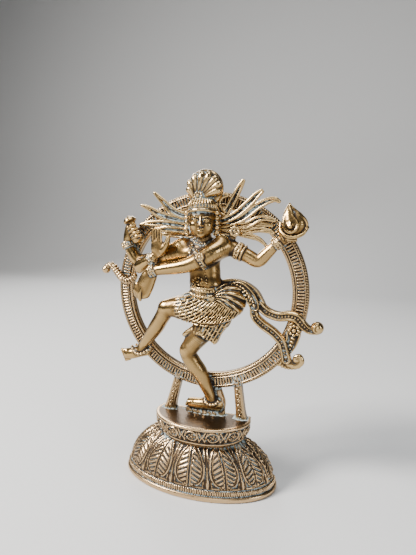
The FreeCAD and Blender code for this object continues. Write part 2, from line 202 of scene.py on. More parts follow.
def nearby_segments(points, starts, ends, sizes):
    """Indices of the segments that can hold the nearest surface to any of the points."""
    low, high = points.min(axis=0), points.max(axis=0)
    centre = (low + high) / 2
    reach = float(np.linalg.norm(high - low)) / 2
    span = ends - starts
    t = np.clip(((centre - starts) * span).sum(axis=1) / ((span * span).sum(axis=1) + 1e-9), 0, 1)
    gap = np.linalg.norm(centre - starts - t[:, None] * span, axis=1) - sizes
    return np.flatnonzero(gap <= gap.min() + 2 * reach + 0.6)


# ---------------------------------------------------------------- forms

def vec(*values):
    return np.array(values, dtype=np.float32)


def smooth_path(stations, steps=5):
    """Rows (x, y, z, size...) eased through the stations by a Catmull-Rom curve."""
    rows = np.array(stations, dtype=np.float32)
    padded = np.vstack([2 * rows[0] - rows[1], rows, 2 * rows[-1] - rows[-2]])
    result = []
    for i in range(1, len(padded) - 2):
        before, start, end, after = padded[i - 1], padded[i], padded[i + 1], padded[i + 2]
        for step in range(steps):
            t = step / steps
            result.append(0.5 * (2 * start + (end - before) * t
                                 + (2 * before - 5 * start + 4 * end - after) * t * t
                                 + (3 * start - before - 3 * end + after) * t ** 3))
    result.append(rows[-1])
    return np.array(result, dtype=np.float32)


def path_lengths(rows):
    """Length along the path at each of its rows."""
    return np.concatenate([[0], np.cumsum(np.linalg.norm(np.diff(rows[:, :3], axis=0), axis=1))])


def place_of(owner, about):
    """The point that a form's places are measured from."""
    return MIDDLE[owner] if about is None else about


def strand(owner, stations, blend=0.4, steps=5, flat=1.0, cut=False, bumps=None, about=None):
    """Round bar along a smooth path, squashed front to back when flat is under 1."""
    rows = smooth_path(stations, steps) if steps > 1 else np.array(stations, dtype=np.float32)
    rows[:, :3] += place_of(owner, about)
    squeeze = vec(1, 1 / flat, 1)
    lengths = path_lengths(rows)
    widest = np.maximum(rows[:-1, 3], rows[1:, 3])

    def distance(points):
        p = points
        best = np.full(len(p), 1e9, dtype=np.float32)
        along = np.zeros(len(p), dtype=np.float32)
        for i in nearby_segments(p, rows[:-1, :3], rows[1:, :3], widest):
            start, end = rows[i], rows[i + 1]
            span = end[:3] - start[:3]
            t = np.clip(((p - start[:3]) @ span) / (span @ span + 1e-9), 0, 1)
            gap = p - start[:3] - t[:, None] * span
            if flat != 1.0:
                gap = gap * squeeze
            own = np.sqrt((gap * gap).sum(axis=1)) - (start[3] + (end[3] - start[3]) * t)
            closer = own < best
            best = np.where(closer, own, best)
            if bumps:
                along = np.where(closer, lengths[i] + t * (lengths[i + 1] - lengths[i]), along)
        if bumps:
            best = best - bumps(along, p)
        return best * (flat if flat < 1 else 1)

    size = rows[:, 3].max() + 0.5
    add(owner, distance, rows[:, :3].min(axis=0) - size, rows[:, :3].max(axis=0) + size, blend, cut)


def ball(owner, centre, semi, blend=0.4, turn=None, cut=False, relief=None, about=None):
    """Ellipsoid with half-axes semi, turned by a 3x3 matrix whose rows are its axes."""
    centre = np.array(centre, dtype=np.float32) + place_of(owner, about)
    semi = np.array([semi] * 3 if np.isscalar(semi) else semi, dtype=np.float32)
    reach = float(semi.max()) + 0.6

    def distance(points):
        p = points - centre
        if turn is not None:
            p = p @ turn.T
        k0 = np.sqrt(((p / semi) ** 2).sum(axis=1))
        k1 = np.sqrt(((p / semi ** 2) ** 2).sum(axis=1)) + 1e-9
        own = k0 * (k0 - 1) / k1
        return own - relief(p) if relief else own

    if turn is None:
        low, high = centre - semi - 0.6, centre + semi + 0.6
    else:
        low, high = centre - reach, centre + reach
    add(owner, distance, low, high, blend, cut)


def ribbon(owner, stations, thick, blend=0.3, steps=5, relief=None, soft=0.25):
    """Flat band in a plane parallel to the ring. Stations are (x, y, z, half width)."""
    rows = smooth_path(stations, steps)
    rows[:, :3] += MIDDLE[owner]
    lengths = path_lengths(rows)
    widest = np.maximum(rows[:-1, 3], rows[1:, 3]) + thick

    def distance(points):
        best = np.full(len(points), 1e9, dtype=np.float32)
        across = np.zeros(len(points), dtype=np.float32)
        wide = np.zeros(len(points), dtype=np.float32)
        along = np.zeros(len(points), dtype=np.float32)
        deep = np.zeros(len(points), dtype=np.float32)
        for i in nearby_segments(points, rows[:-1, :3], rows[1:, :3], widest):
            start, end = rows[i], rows[i + 1]
            sx, sz = end[0] - start[0], end[2] - start[2]
            px, pz = points[:, 0] - start[0], points[:, 2] - start[2]
            t = np.clip((px * sx + pz * sz) / (sx * sx + sz * sz + 1e-9), 0, 1)
            gx, gz = px - t * sx, pz - t * sz
            gap = np.sqrt(gx * gx + gz * gz)
            half = start[3] + (end[3] - start[3]) * t
            own = gap - half
            closer = own < best
            best = np.where(closer, own, best)
            side = np.sign(sx * gz - sz * gx)
            across = np.where(closer, side * gap, across)
            wide = np.where(closer, half, wide)
            along = np.where(closer, lengths[i] + t * (lengths[i + 1] - lengths[i]), along)
            deep = np.where(closer, start[1] + (end[1] - start[1]) * t, deep)
        lift = relief(across, wide, along) if relief else 0.0
        back = np.abs(points[:, 1] - deep + lift * 0.5) - thick - lift * 0.5
        inside = np.minimum(np.maximum(best, back), 0)
        outer = np.sqrt(np.maximum(best + soft, 0) ** 2 + np.maximum(back + soft, 0) ** 2) - soft
        return np.where((best < -soft) & (back < -soft), inside, outer) * 0.9

    size = rows[:, 3].max() + 0.4
    low = rows[:, :3].min(axis=0) - vec(size, thick + 1.2, size)
    high = rows[:, :3].max(axis=0) + vec(size, thick + 0.6, size)
    add(owner, distance, low, high, blend)


def frame_about(axis, hint=(0, 0, 1)):
    """Three unit rows: two across the axis and the axis itself."""
    axis = np.array(axis, dtype=np.float64)
    axis /= np.linalg.norm(axis)
    hint = np.array(hint, dtype=np.float64)
    if abs(axis @ hint) > 0.95:
        hint = np.array([1.0, 0, 0])
    side = np.cross(hint, axis)
    side /= np.linalg.norm(side)
    up = np.cross(axis, side)
    return np.array([side, up, axis], dtype=np.float32)


def beads(owner, places, size):
    """A set of equal round beads at places in the frame's own axes."""
    places = np.array(places, dtype=np.float32)
    sizes = np.full(len(places), size, dtype=np.float32)

    def distance(points):
        best = np.full(len(points), 1e9, dtype=np.float32)
        for i in nearby_segments(points, places, places + 1e-6, sizes):
            gap = points - places[i]
            best = np.minimum(best, (gap * gap).sum(axis=1))
        return np.sqrt(best) - size
    add(owner, distance, places.min(axis=0) - size, places.max(axis=0) + size, 0.12)


def bead_loop(owner, centre, axis, half_side, half_up, count, size):
    """Beads set round an ellipse across an axis."""
    side, up = frame_about(axis)[:2]
    centre = np.array(centre, dtype=np.float32) + MIDDLE[owner]
    turns = [2 * math.pi * i / count for i in range(count)]
    beads(owner, [centre + side * half_side * math.cos(t) + up * half_up * math.sin(t) for t in turns],
          size)


def band_loop(owner, centre, axis, half_side, half_up, size, blend=0.2, about=None):
    """Plain round wire bent into an ellipse across an axis."""
    side, up = frame_about(axis)[:2]
    centre = np.array(centre, dtype=np.float32)
    rows = []
    for i in range(25):
        turn = 2 * math.pi * i / 24
        place = centre + side * half_side * math.cos(turn) + up * half_up * math.sin(turn)
        rows.append((*place, size))
    strand(owner, rows, blend=blend, steps=1, about=about)


def bead_line(owner, stations, pitch, size):
    """Beads a fixed pitch apart along a smooth path of (x, y, z) stations."""
    rows = smooth_path(stations, 8) + MIDDLE[owner]
    lengths = path_lengths(rows)
    count = max(int(lengths[-1] / pitch), 1)
    marks = np.linspace(0, lengths[-1], count + 1)
    beads(owner, np.column_stack([np.interp(marks, lengths, rows[:, k]) for k in range(3)]), size)


# ---------------------------------------------------------------- ring, posts, pedestal

RING = np.array(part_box("halo_ring")) / MM
RING_OUTER = float(RING[1][0] - RING[0][0]) / 2
RING_X = float(RING[1][0] + RING[0][0]) / 2
RING_Z = float(RING[1][2] + RING[0][2]) / 2
RING_FRONT = float(RING[0][1])
RING_BACK = float(RING[1][1])
RING_HALF = 3.1
RING_MID = RING_OUTER - RING_HALF - 0.05


def wave(value, sharp=2.0):
    """Rounded square wave between 0 and 1, with period 1."""
    return 0.5 + 0.5 * np.tanh(sharp * np.cos(2 * math.pi * value)) / math.tanh(sharp)


def hill(value, centre, half):
    """Smooth bump of height 1 and given half width."""
    return np.exp(-((value - centre) / half) ** 2)


def halo_ring():
    """Flat hoop: a ladder of bars between two rails, and a bead row along each edge."""
    bar_pitch, bead_pitch = 1.17, 0.92
    rungs = round(2 * math.pi * RING_MID / bar_pitch)
    dots = round(2 * math.pi * RING_MID / bead_pitch)
    ladder_shift, bar_half, rail_at = 0.22, 1.25, 1.62
    edge_at, edge_half = 2.5, 0.46

    def distance(points):
        x, y, z = points[:, 0] - RING_X, points[:, 1], points[:, 2] - RING_Z
        radius = np.sqrt(x * x + z * z)
        turn = np.arctan2(z, x) / (2 * math.pi)
        off = np.abs(radius - RING_MID)
        inner = np.abs(radius - RING_MID - ladder_shift)
        bars = wave(turn * rungs, 1.6) / (1 + np.exp(np.minimum((inner - bar_half) / 0.07, 50)))
        rail = hill(inner, rail_at, 0.27)
        plain = np.where(radius > RING_MID, 0.3, 0.65)
        edge = np.sqrt(np.clip(1 - ((off - edge_at) / edge_half) ** 2, 0, 1))
        bead = edge * (plain + (1 - plain) * wave(turn * dots, 0.9))
        height = np.maximum(np.maximum(0.46 * bars, 0.6 * rail), 0.46 * bead)
        slope = np.maximum(off - 2.0, 0) * 0.55
        front = RING_FRONT + 0.6 - height + slope
        sides = off - RING_HALF
        back = y - RING_BACK + 0.15 + np.maximum(off - 2.4, 0) * 0.5
        return np.maximum(np.maximum(sides, back), (front - y) * 0.75)

    half = RING_OUTER + 0.2
    low = (RING_X - half, RING_FRONT - 0.3, RING_Z - half)
    high = (RING_X + half, RING_BACK + 0.2, RING_Z + half)
    add("halo_ring", distance, low, high, blend=0.3)


def post(owner, foot_x, top_x, top_z, foot_half, top_half):
    """Tapering leaning bar with a row of round flowers down its front."""
    middle = MIDDLE[owner]
    foot = np.array([middle[0] + foot_x, 0, PLINTH_TOP])
    top = np.array([middle[0] + top_x, 0, middle[2] + top_z])
    height = top[2] - foot[2]
    front, back = RING_FRONT - 0.1, RING_BACK - 0.3
    flowers = 8
    pitch = height / flowers

    def distance(points):
        share = np.clip((points[:, 2] - foot[2]) / height, 0, 1)
        centre = foot[0] + (top[0] - foot[0]) * share
        half = foot_half + (top_half - foot_half) * share
        x = points[:, 0] - centre
        step = (points[:, 2] - foot[2]) / pitch
        local = (step - np.floor(step) - 0.5) * pitch
        radius = np.sqrt(x * x + local * local)
        lift = 0.4 * hill(radius, 0.0, 0.28) + 0.34 * hill(radius, 0.66, 0.2) * (x * np.cos(step) > -0.45)
        lift = lift - 0.55 * np.clip(np.abs(x) - half + 0.75, 0, 1)
        flare = 0.5 * np.exp(-(points[:, 2] - foot[2]) / 1.6)
        sides = (np.abs(x) - half - flare) * 0.9
        ends = np.maximum(foot[2] - 1.0 - points[:, 2], points[:, 2] - top[2])
        faces = np.maximum(front + 0.35 - lift - points[:, 1], points[:, 1] - back)
        return np.maximum(np.maximum(sides, ends), faces * 0.85)

    low = (min(foot[0] - foot_half, top[0] - top_half) - 0.3, front - 0.6, foot[2] - 1.2)
    high = (max(foot[0] + foot_half, top[0] + top_half) + 0.3, back + 0.3, top[2] + 0.3)
    add(owner, distance, low, high, blend=0.7)


BASE = np.array(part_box("lotus_base")) / MM
BASE_WIDE = float(BASE[1][0] - BASE[0][0]) / 2
BASE_BACK = float(BASE[1][1])
BASE_DEEP = 18.3
BASE_Y = float(BASE[0][1]) + BASE_DEEP
BASE_SQUASH = BASE_DEEP / BASE_WIDE
DOME = [(31.2, 4.0), (30.4, 7.0), (29.6, 9.5), (28.3, 12.0), (26.3, 14.2), (24.2, 16.3), (21.6, 18.0),
        (19.0, 19.2), (17.0, 20.2), (16.0, 21.5)]


PETAL_PITCH = math.radians(28.2) * BASE_WIDE
PETAL_PHASE = math.radians(2.5) * BASE_WIDE
LEAF_RISE = [5.1, 5.5, 6.2, 7.4, 9.0, 11.0, 13.0, 15.2, 17.2, 18.6, 19.2]
LEAF_HALF = [0.0, 2.6, 4.3, 5.8, 6.7, 7.1, 7.0, 6.3, 4.9, 3.0, 0.0]


def petal_relief(turn, rise):
    """Height of the lotus petals. turn is arc length round the rim, rise is height above the floor."""
    local = turn - PETAL_PHASE
    local = local - np.round(local / PETAL_PITCH) * PETAL_PITCH
    off = np.abs(local)
    notch = 0.5 * np.cos(off * 2.1) * np.exp(-np.maximum(rise - 5.0, 0) / 1.3)
    half = np.interp(rise - notch, LEAF_RISE, LEAF_HALF).astype(np.float32)
    shrink = np.interp(rise, [5, 12, 17.5], [1.0, 0.9, 0.7]).astype(np.float32)
    edge = (half - off) * shrink
    inside = 1 / (1 + np.exp(-edge / 0.1))
    border = hill(edge, 0.42, 0.32)
    second = hill(edge, 1.5, 0.26) * (rise > 6.5)
    rib = 0.55 * hill(off * shrink, 0.62, 0.26) - 0.35 * hill(off, 0.0, 0.3)
    veins = wave((rise + 0.42 * off) / 1.62, 1.1) * np.clip((off * shrink - 0.9) / 0.2, 0, 1)
    veins = veins * np.clip((edge - 1.7) / 0.25, 0, 1)
    leaf = inside * (0.36 + 0.65 * border + 0.42 * second + np.maximum(rib, 0.6 * veins) - 0.1)
    side = (PETAL_PITCH / 2 - off) * shrink
    stem = hill(side, 0.0, 0.42) * np.clip(1.15 - (rise - 6) / 11, 0.1, 1)
    knob = np.exp(-(side / 1.35) ** 2 - ((rise - 6.5) / 1.5) ** 2)
    line = hill(side, np.interp(rise, [5, 7, 15], [2.1, 1.7, 0.7]).astype(np.float32), 0.22) * 0.5
    between_leaves = (1 - inside) * (0.6 * stem + 1.0 * knob + line)
    fade = np.clip((19.4 - rise) / 0.6, 0, 1) * np.clip((rise - 4.7) / 0.4, 0, 1)
    return (leaf + between_leaves) * fade


def lotus_base():
    heights = np.array([row[1] for row in DOME], dtype=np.float32)
    widths = np.array([row[0] for row in DOME], dtype=np.float32)
    slopes = np.gradient(widths, heights)
    strands, rope_in, rope_rise = 205, 2.1, 3.35
    rail_in, rail_rise, fillet_in, fillet_rise = 1.15, 1.1, 2.2, 4.95
    hollow_top, back_wall, top = 14.6, 2.7, 21.0

    def distance(points):
        x = points[:, 0]
        y = (points[:, 1] - BASE_Y) / BASE_SQUASH
        z = points[:, 2]
        radius = np.sqrt(x * x + y * y)
        angle = np.arctan2(x, -y)
        wide = np.interp(z, heights, widths).astype(np.float32)
        steep = np.interp(z, heights, slopes).astype(np.float32)
        normal = 1 / np.sqrt(1 + steep * steep)
        relief = petal_relief(angle * BASE_WIDE, z) - 0.75
        dome = (radius - wide) * normal - relief * 0.85
        squash = 0.62 + 0.38 * np.abs(x) / (radius + 1e-6)
        dome = np.maximum(dome * squash, 3.2 - z)
        rope = 0.55 * wave(angle * strands / (2 * math.pi) + z * 0.12, 1.6)
        past = radius - BASE_WIDE
        band = np.sqrt(np.maximum(past + rope_in - rope, 0) ** 2 + (z - rope_rise) ** 2) - 1.05
        rail = np.sqrt(np.maximum(past + rail_in, 0) ** 2 + (z - rail_rise) ** 2) - 1.1
        fillet = np.sqrt(np.maximum(past + fillet_in, 0) ** 2 + ((z - fillet_rise) * 1.1) ** 2) - 0.55
        lower = np.minimum(np.minimum(band, rail), fillet) * squash
        solid = soft_min(dome, lower, 0.25)
        solid = np.maximum(solid, points[:, 1] - BASE_BACK + 0.05)
        solid = np.maximum(solid, -z)
        hollow_r = np.interp(z, [-1, 9, 15], [28.6, 26.6, 19.8]).astype(np.float32)
        hollow = np.maximum(radius * 0.985 - hollow_r, z - hollow_top)
        hollow = np.maximum(hollow * 0.6, points[:, 1] - BASE_BACK + back_wall)
        solid = np.maximum(solid, -hollow)
        return np.maximum(solid, z - top)

    low = (-BASE_WIDE - 0.1, float(BASE[0][1]) - 0.1, 0.0)
    high = (BASE_WIDE + 0.1, BASE_BACK + 0.1, top + 0.2)
    add("lotus_base", distance, low, high, blend=0.5)


PLINTH = np.array(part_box("plinth")) / MM
PLINTH_X = float(PLINTH[0][0] + PLINTH[1][0]) / 2
PLINTH_WIDE = float(PLINTH[1][0] - PLINTH[0][0]) / 2
PLINTH_TOP = float(PLINTH[1][2])
PLINTH_REAR = float(PLINTH[1][1])
PLINTH_DEEP = float(PLINTH[1][1] - PLINTH[0][1])
PLINTH_FOOT = PLINTH_TOP - 8.7


def scroll_relief(run, rise):
    """Frieze on the plinth's front: leafy scrolls round a flower, with crossed stalks between."""
    pitch = 8.6
    cell = np.round(run / pitch)
    x = run - cell * pitch
    radius = np.sqrt((x / 1.15) ** 2 + rise ** 2)
    angle = np.arctan2(rise, x)
    curl = hill(radius, 1.95 + 0.1 * angle, 0.3)
    flower = hill(radius, 0.0, 0.5) + 0.8 * hill(radius, 1.0, 0.22) * wave(angle * 5 / (2 * math.pi), 1.0)
    gap = pitch / 2 - np.abs(x)
    stalk = hill(gap - 0.55 * np.abs(rise), 0.15, 0.3) + hill(gap - 1.6, 0.25 * rise, 0.24)
    return 0.6 * curl + 0.5 * flower + 0.5 * stalk * (radius > 2.3)


def plinth():
    """Flat top behind a rounded lip, over a wall that draws in to a roll at its foot."""
    bend = 2.2
    frieze_middle, frieze_radius = PLINTH_TOP - 3.7, 21.0
    roll_in, roll_rise, roll_top = 3.2, PLINTH_FOOT + 1.4, PLINTH_FOOT + 2.2

    def distance(points):
        y = (PLINTH_REAR - points[:, 1]) / PLINTH_DEEP
        cheek = 1 - 0.07 * np.exp(-(np.maximum(y, 0) / 0.2) ** 2)
        x = (points[:, 0] - PLINTH_X) / (PLINTH_WIDE * cheek)
        z = points[:, 2]
        ax, ay = np.abs(x) + 1e-6, np.maximum(y, 0) + 1e-6
        level = (ax ** bend + ay ** bend) ** (1 / bend)
        # turn the superellipse level into a distance with its own gradient
        gx = ax ** (bend - 1) / PLINTH_WIDE
        gy = ay ** (bend - 1) / PLINTH_DEEP
        steep = np.sqrt(gx * gx + gy * gy) * level ** (1 - bend)
        gap = (level - 1) / np.maximum(steep, 1e-3)
        drop = PLINTH_TOP - z
        belly = 0.6 + 3.0 * np.clip((drop - 0.9) / 6.8, 0, 1) ** 2.6
        run = np.arctan2(points[:, 0] - PLINTH_X, (PLINTH_REAR - points[:, 1]) * 1.15) * frieze_radius
        frieze = np.clip((drop - 1.0) / 0.5, 0, 1) * np.clip((6.6 - drop) / 0.8, 0, 1) * (y > 0.12)
        lift = scroll_relief(run, z - frieze_middle) * frieze
        lip = 0.75 - 0.65 * np.sqrt(np.clip(1 - ((drop - 0.65) / 0.7) ** 2, 0, 1))
        wall = gap + np.where(drop < 1.2, np.minimum(lip, belly), belly) - lift
        lower_roll = gap + roll_in - 0.7 * hill(z, roll_rise, 0.7)
        body = np.maximum(np.minimum(wall, np.where(z < roll_top, lower_roll, wall)) * 0.9, -drop)
        body = np.maximum(body, points[:, 1] - PLINTH_REAR + 0.05)
        return np.maximum(body, PLINTH_FOOT - z)

    low = (PLINTH_X - PLINTH_WIDE - 0.1, float(PLINTH[0][1]) - 0.1, PLINTH_FOOT - 0.2)
    high = (PLINTH_X + PLINTH_WIDE + 0.1, PLINTH_REAR + 0.1, PLINTH_TOP + 0.1)
    add("plinth", distance, low, high, blend=0.5)


def foot_pad():
    def pad_relief(p):
        return 0.12 * np.sin(p[:, 0] * 1.7 + 0.5) + 0.1 * np.sin(p[:, 0] * 2.9 + p[:, 2] * 2.0)
    ball("foot_pad", (0.4, -0.1, -3.8), (8.6, 2.5, 1.7), blend=0.8, relief=pad_relief)
    strand("foot_pad", [(-6.1, 1.0, -3.4, 1.2), (-2.5, 1.0, -2.2, 1.3), (1.5, 1.0, -1.0, 1.5),
                        (6.1, 0.9, -1.0, 1.5)], 0.9)
    strand("foot_pad", [(6.9, 0.3, -2.8, 1.9), (7.3, 0.3, 0.6, 1.8), (6.3, 0.2, 3.8, 1.8),
                        (4.5, 0, 7.6, 2.1)], 0.9)


# ---------------------------------------------------------------- body

def torso():
    name = "torso"
    ball(name, (-0.3, 0, 3.3), (8.4, 4.9, 5.6), blend=0.0)
    ball(name, (1.3, 0.1, -3.5), (6.2, 4.5, 7.0), blend=2.0)
    ball(name, (2.1, -0.4, -8.1), (6.5, 4.9, 4.4), blend=1.6)
    ball(name, (3.2, -2.9, 3.7), (3.5, 2.1, 2.9), blend=1.0)
    ball(name, (-4.2, -2.9, 3.4), (3.5, 2.2, 2.9), blend=1.0)
    ball(name, (7.2, -0.3, 6.1), (4.0, 3.7, 3.6), blend=1.8)
    ball(name, (-7.9, -0.1, 5.4), (3.9, 3.6, 3.4), blend=1.8)
    strand(name, [(1.0, -0.1, 6.0, 3.3), (0.7, -0.7, 11.5, 2.9)], blend=1.6, steps=1)
    bead_line(name, [(2.6, -4.8, -2.1), (3.4, -4.9, -4.7), (3.9, -5.1, -7.1)], 1.25, 0.42)
    bead_loop(name, (0.3, -5.1, -6.6), (0.1, -1, 0), 1.8, 1.45, 9, 0.4)
    ball(name, (0.3, -5.2, -6.7), 0.55, blend=0.15)


def shoulder_loop():
    """Small looped ridge on top of the near shoulder."""
    rows = [(5.6, -1.9, 7.5, 0.45), (6.2, -1.9, 9.5, 0.5), (8.0, -1.7, 10.7, 0.6), (9.8, -1.7, 9.7, 0.6),
            (10.4, -1.9, 7.7, 0.6), (9.8, -2.3, 5.7, 0.5)]
    strand("torso", rows, blend=0.5)
    ball("torso", (8.0, -1.5, 8.7), (1.5, 1.4, 1.6), blend=0.6)


def standing_leg():
    name = "standing_leg"
    strand(name, [(4.4, -0.5, 18.5, 5.0), (0.2, -1.3, 11.5, 4.4), (-4.0, -1.9, 5.9, 3.7),
                  (-5.4, -1.9, 2.1, 3.3), (-3.6, -1.1, -1.9, 3.3), (-1.2, -0.1, -5.7, 3.15),
                  (0.8, 1.1, -10.9, 2.5), (2.3, 2.3, -15.1, 2.1), (2.9, 2.9, -18.3, 2.0)], blend=1.2,
                  steps=10)
    ball(name, (-6.5, -3.4, 3.7), (1.9, 1.7, 2.2), blend=1.4)
    strand(name, [(5.2, 3.7, -19.6, 2.5), (1.6, 3.2, -19.5, 2.4), (-2.4, 3.0, -19.9, 2.1),
                  (-5.9, 3.2, -20.1, 1.9)], 1.2)
    for toe in range(5):
        deep = 1.8 + 0.75 * toe
        strand(name, [(-4.6, deep, -19.1, 0.6), (-6.6, deep, -19.5, 0.62), (-7.3, deep, -20.7, 0.6)],
               blend=0.12, steps=2)
    bead_loop("standing_anklet", (0.2, -0.2, 0.5), (0.12, -0.5, 1), 2.9, 2.9, 15, 0.68)


def raised_leg():
    name = "raised_leg"
    strand(name, [(15.0, 1.3, 9.7, 5.0), (9.9, -0.3, 9.9, 4.8), (5.3, -1.9, 9.7, 4.0),
                  (2.3, -2.7, 8.7, 3.3), (-0.1, -2.3, 5.1, 3.0), (-2.9, -1.3, 0.9, 3.0),
                  (-6.1, -0.1, -3.3, 2.5), (-8.9, 0.9, -6.7, 2.0), (-10.3, 1.3, -8.9, 1.9)], blend=1.2,
                  steps=10)
    ball(name, (1.5, -3.5, 9.9), (2.2, 1.9, 2.2), blend=1.4)
    strand(name, [(-8.3, 1.7, -10.3, 1.9), (-11.3, 1.4, -10.8, 2.2), (-14.3, 1.2, -11.6, 2.4),
                  (-16.1, 1.2, -12.2, 2.2)], 1.2)
    ball(name, (-16.8, 1.3, -12.4), (2.3, 1.5, 2.5), blend=0.6)
    for toe in range(5):
        share = toe / 4
        start = (-16.5 + 0.7 * share, 0.6, -10.9 - 3.1 * share, 0.8)
        end = (-19.2 + 1.9 * share, 0.6, -10.6 - 4.1 * share, 0.66)
        strand(name, [start, end], blend=0.12, steps=1)
    front = [(-4.7, -0.6, -1.4), (-3.3, -2.0, -2.7), (-1.1, -2.6, -3.6), (1.3, -2.0, -3.0),
             (3.2, -0.4, -1.7)]
    back = [(3.2, -0.4, -1.7), (1.9, 2.1, -1.2), (-1.3, 2.6, -1.1), (-3.9, 1.6, -1.1)]
    bead_line("raised_anklet", front, 1.25, 0.66)
    bead_line("raised_anklet", back, 1.25, 0.6)


def fingers(owner, base_a, base_b, tip_a, tip_b, size, count=4, bow=(0, 0, 0)):
    """Fingers side by side from a line of knuckles to a line of tips."""
    base_a, base_b, tip_a, tip_b = (np.array(v, dtype=float) for v in (base_a, base_b, tip_a, tip_b))
    for i in range(count):
        share = i / (count - 1)
        start = base_a + (base_b - base_a) * share
        end = tip_a + (tip_b - tip_a) * share
        middle = (start + end) / 2 + np.array(bow)
        strand(owner, [(*start, size), (*middle, size * 0.98), (*end, size * 0.8)], blend=0.06, steps=3)


def front_left_arm():
    name = "front_left_arm"
    strand(name, [(14.3, 3.2, 9.1, 3.9), (12.1, 0, 7.4, 3.6), (8.1, -2.6, 4.7, 3.2),
                  (3.5, -3.8, 2.5, 2.8), (-1.9, -4.1, 1.3, 2.55), (-6.9, -4.5, 0.4, 2.15),
                  (-10.7, -4.8, -0.4, 1.8)], blend=1.4)
    strand(name, [(-10.5, -4.8, -0.5, 1.9), (-12.5, -4.7, -3.1, 2.8), (-13.8, -4.3, -6.1, 3.2),
                  (-14.5, -4.1, -8.9, 2.6)], blend=0.8, flat=0.6)
    fingers(name, (-16.9, -4.6, -5.7), (-14.5, -5.4, -6.9), (-17.5, -4.3, -10.1), (-15.5, -4.7, -11.7),
            0.82, bow=(-0.3, -0.5, 0))
    strand(name, [(-10.2, -4.2, -2.7, 1.4), (-11.7, -3.9, -6.3, 1.5), (-13.1, -3.8, -9.6, 1.3)], blend=0.6)
    axis = (-12.0, -3.0, -7.0)
    band_loop("front_left_armlet", (-0.1, 0, -0.6), axis, 3.35, 3.35, 0.42)
    bead_loop("front_left_armlet", (-0.9, -0.2, -1.0), axis, 3.35, 3.35, 16, 0.45)
    ball("front_left_armlet", (0.3, -3.1, 0.4), (1.7, 0.8, 1.7), blend=0.3)
    bead_loop("front_left_armlet", (0.3, -3.7, 0.4), (0, -1, 0), 1.25, 1.25, 9, 0.34)
    ball("front_left_armlet", (0.3, -3.8, 0.4), 0.55, blend=0.1)
    bracelet("front_left_bracelet", (-0.4, -0.3, -0.2), (-1, -0.1, -0.5), 2.05, 0.55)


def bracelet(owner, centre, axis, radius, size):
    """Bead row between two plain wires."""
    unit = np.array(axis, dtype=float)
    unit /= np.linalg.norm(unit)
    centre = np.array(centre, dtype=float)
    bead_loop(owner, centre, axis, radius, radius, 12, size)
    band_loop(owner, centre + unit * 0.95, axis, radius - 0.1, radius - 0.1, 0.34)
    band_loop(owner, centre - unit * 0.95, axis, radius, radius, 0.34)


def front_right_arm():
    name = "front_right_arm"
    strand(name, [(9.0, 2.4, 1.3, 3.8), (3.6, 1.6, -1.1, 3.4), (-2.4, 1.0, -4.1, 2.9),
                  (-7.2, 0.4, -6.0, 2.7), (-6.7, -1.6, -6.1, 2.8), (-3.6, -3.2, -4.3, 2.4),
                  (-0.3, -4.2, -2.3, 1.8)], blend=1.2)
    strand(name, [(8.6, 2.2, -0.9, 4.4), (2.4, 1.8, -2.9, 3.6), (-3.6, 1.2, -4.9, 2.8)], blend=1.6)
    ball(name, (1.4, -4.5, 1.7), (2.5, 1.2, 4.1), blend=0.6)
    ball(name, (3.0, -4.2, 1.1), (1.9, 1.2, 2.8), blend=0.6)
    fingers(name, (-0.3, -4.8, 3.7), (2.9, -4.8, 3.7), (-0.4, -4.5, 8.4), (2.7, -4.5, 8.6), 0.62)
    strand(name, [(3.6, -4.2, 0.7, 1.5), (5.1, -4.3, 2.9, 1.2), (5.8, -4.2, 5.4, 0.8)], blend=0.5)
    bracelet("front_right_bracelet", (0.5, -0.4, 0.2), (0.75, -0.35, 0.6), 2.0, 0.55)


def rear_left_arm():
    name = "rear_left_arm"
    strand(name, [(-11.7, -0.6, 1.1, 3.2), (-7.3, -0.4, -0.7, 3.0), (-2.9, -0.4, -2.7, 2.7),
                  (1.1, -0.4, -4.3, 2.6), (4.7, -0.4, -1.1, 2.2), (7.7, -0.4, 2.1, 1.8),
                  (10.5, -0.4, 4.3, 2.0)], blend=1.2)
    axis = (4.4, 0, -2.0)
    for step in (-1.15, 0.1, 1.35):
        band_loop("rear_left_armlet", (-0.9 + 0.91 * step, 0.1, 0.2 - 0.41 * step), axis, 3.1, 3.1, 0.42)
    bead_loop("rear_left_armlet", (-1.4, 0.1, 0.5), axis, 3.15, 3.15, 16, 0.42)
    bracelet("rear_left_bracelet", (0.4, 0.1, 0.4), (1, 0, 0.9), 2.2, 0.55)
    ball("rear_left_bracelet", (0.6, -2.1, 0.5), (0.9, 0.7, 0.9), blend=0.2)
    fingers(name, (10.5, -2.0, 4.1), (13.1, -2.2, 3.4), (9.1, -2.6, 6.5), (14.9, -2.8, 4.7), 0.75)
    knob = "shoulder_knob"
    ball(knob, (0.8, 0.1, 0.8), (1.2, 1.2, 1.2), blend=0.2)
    bead_loop(knob, (0.8, -0.4, 0.8), (0.2, -1, 0.1), 1.5, 1.5, 8, 0.75)
    strand(knob, [(0.4, 0.5, -0.4, 1.2), (-0.6, 0.7, -2.2, 1.4)], blend=0.5, steps=1)


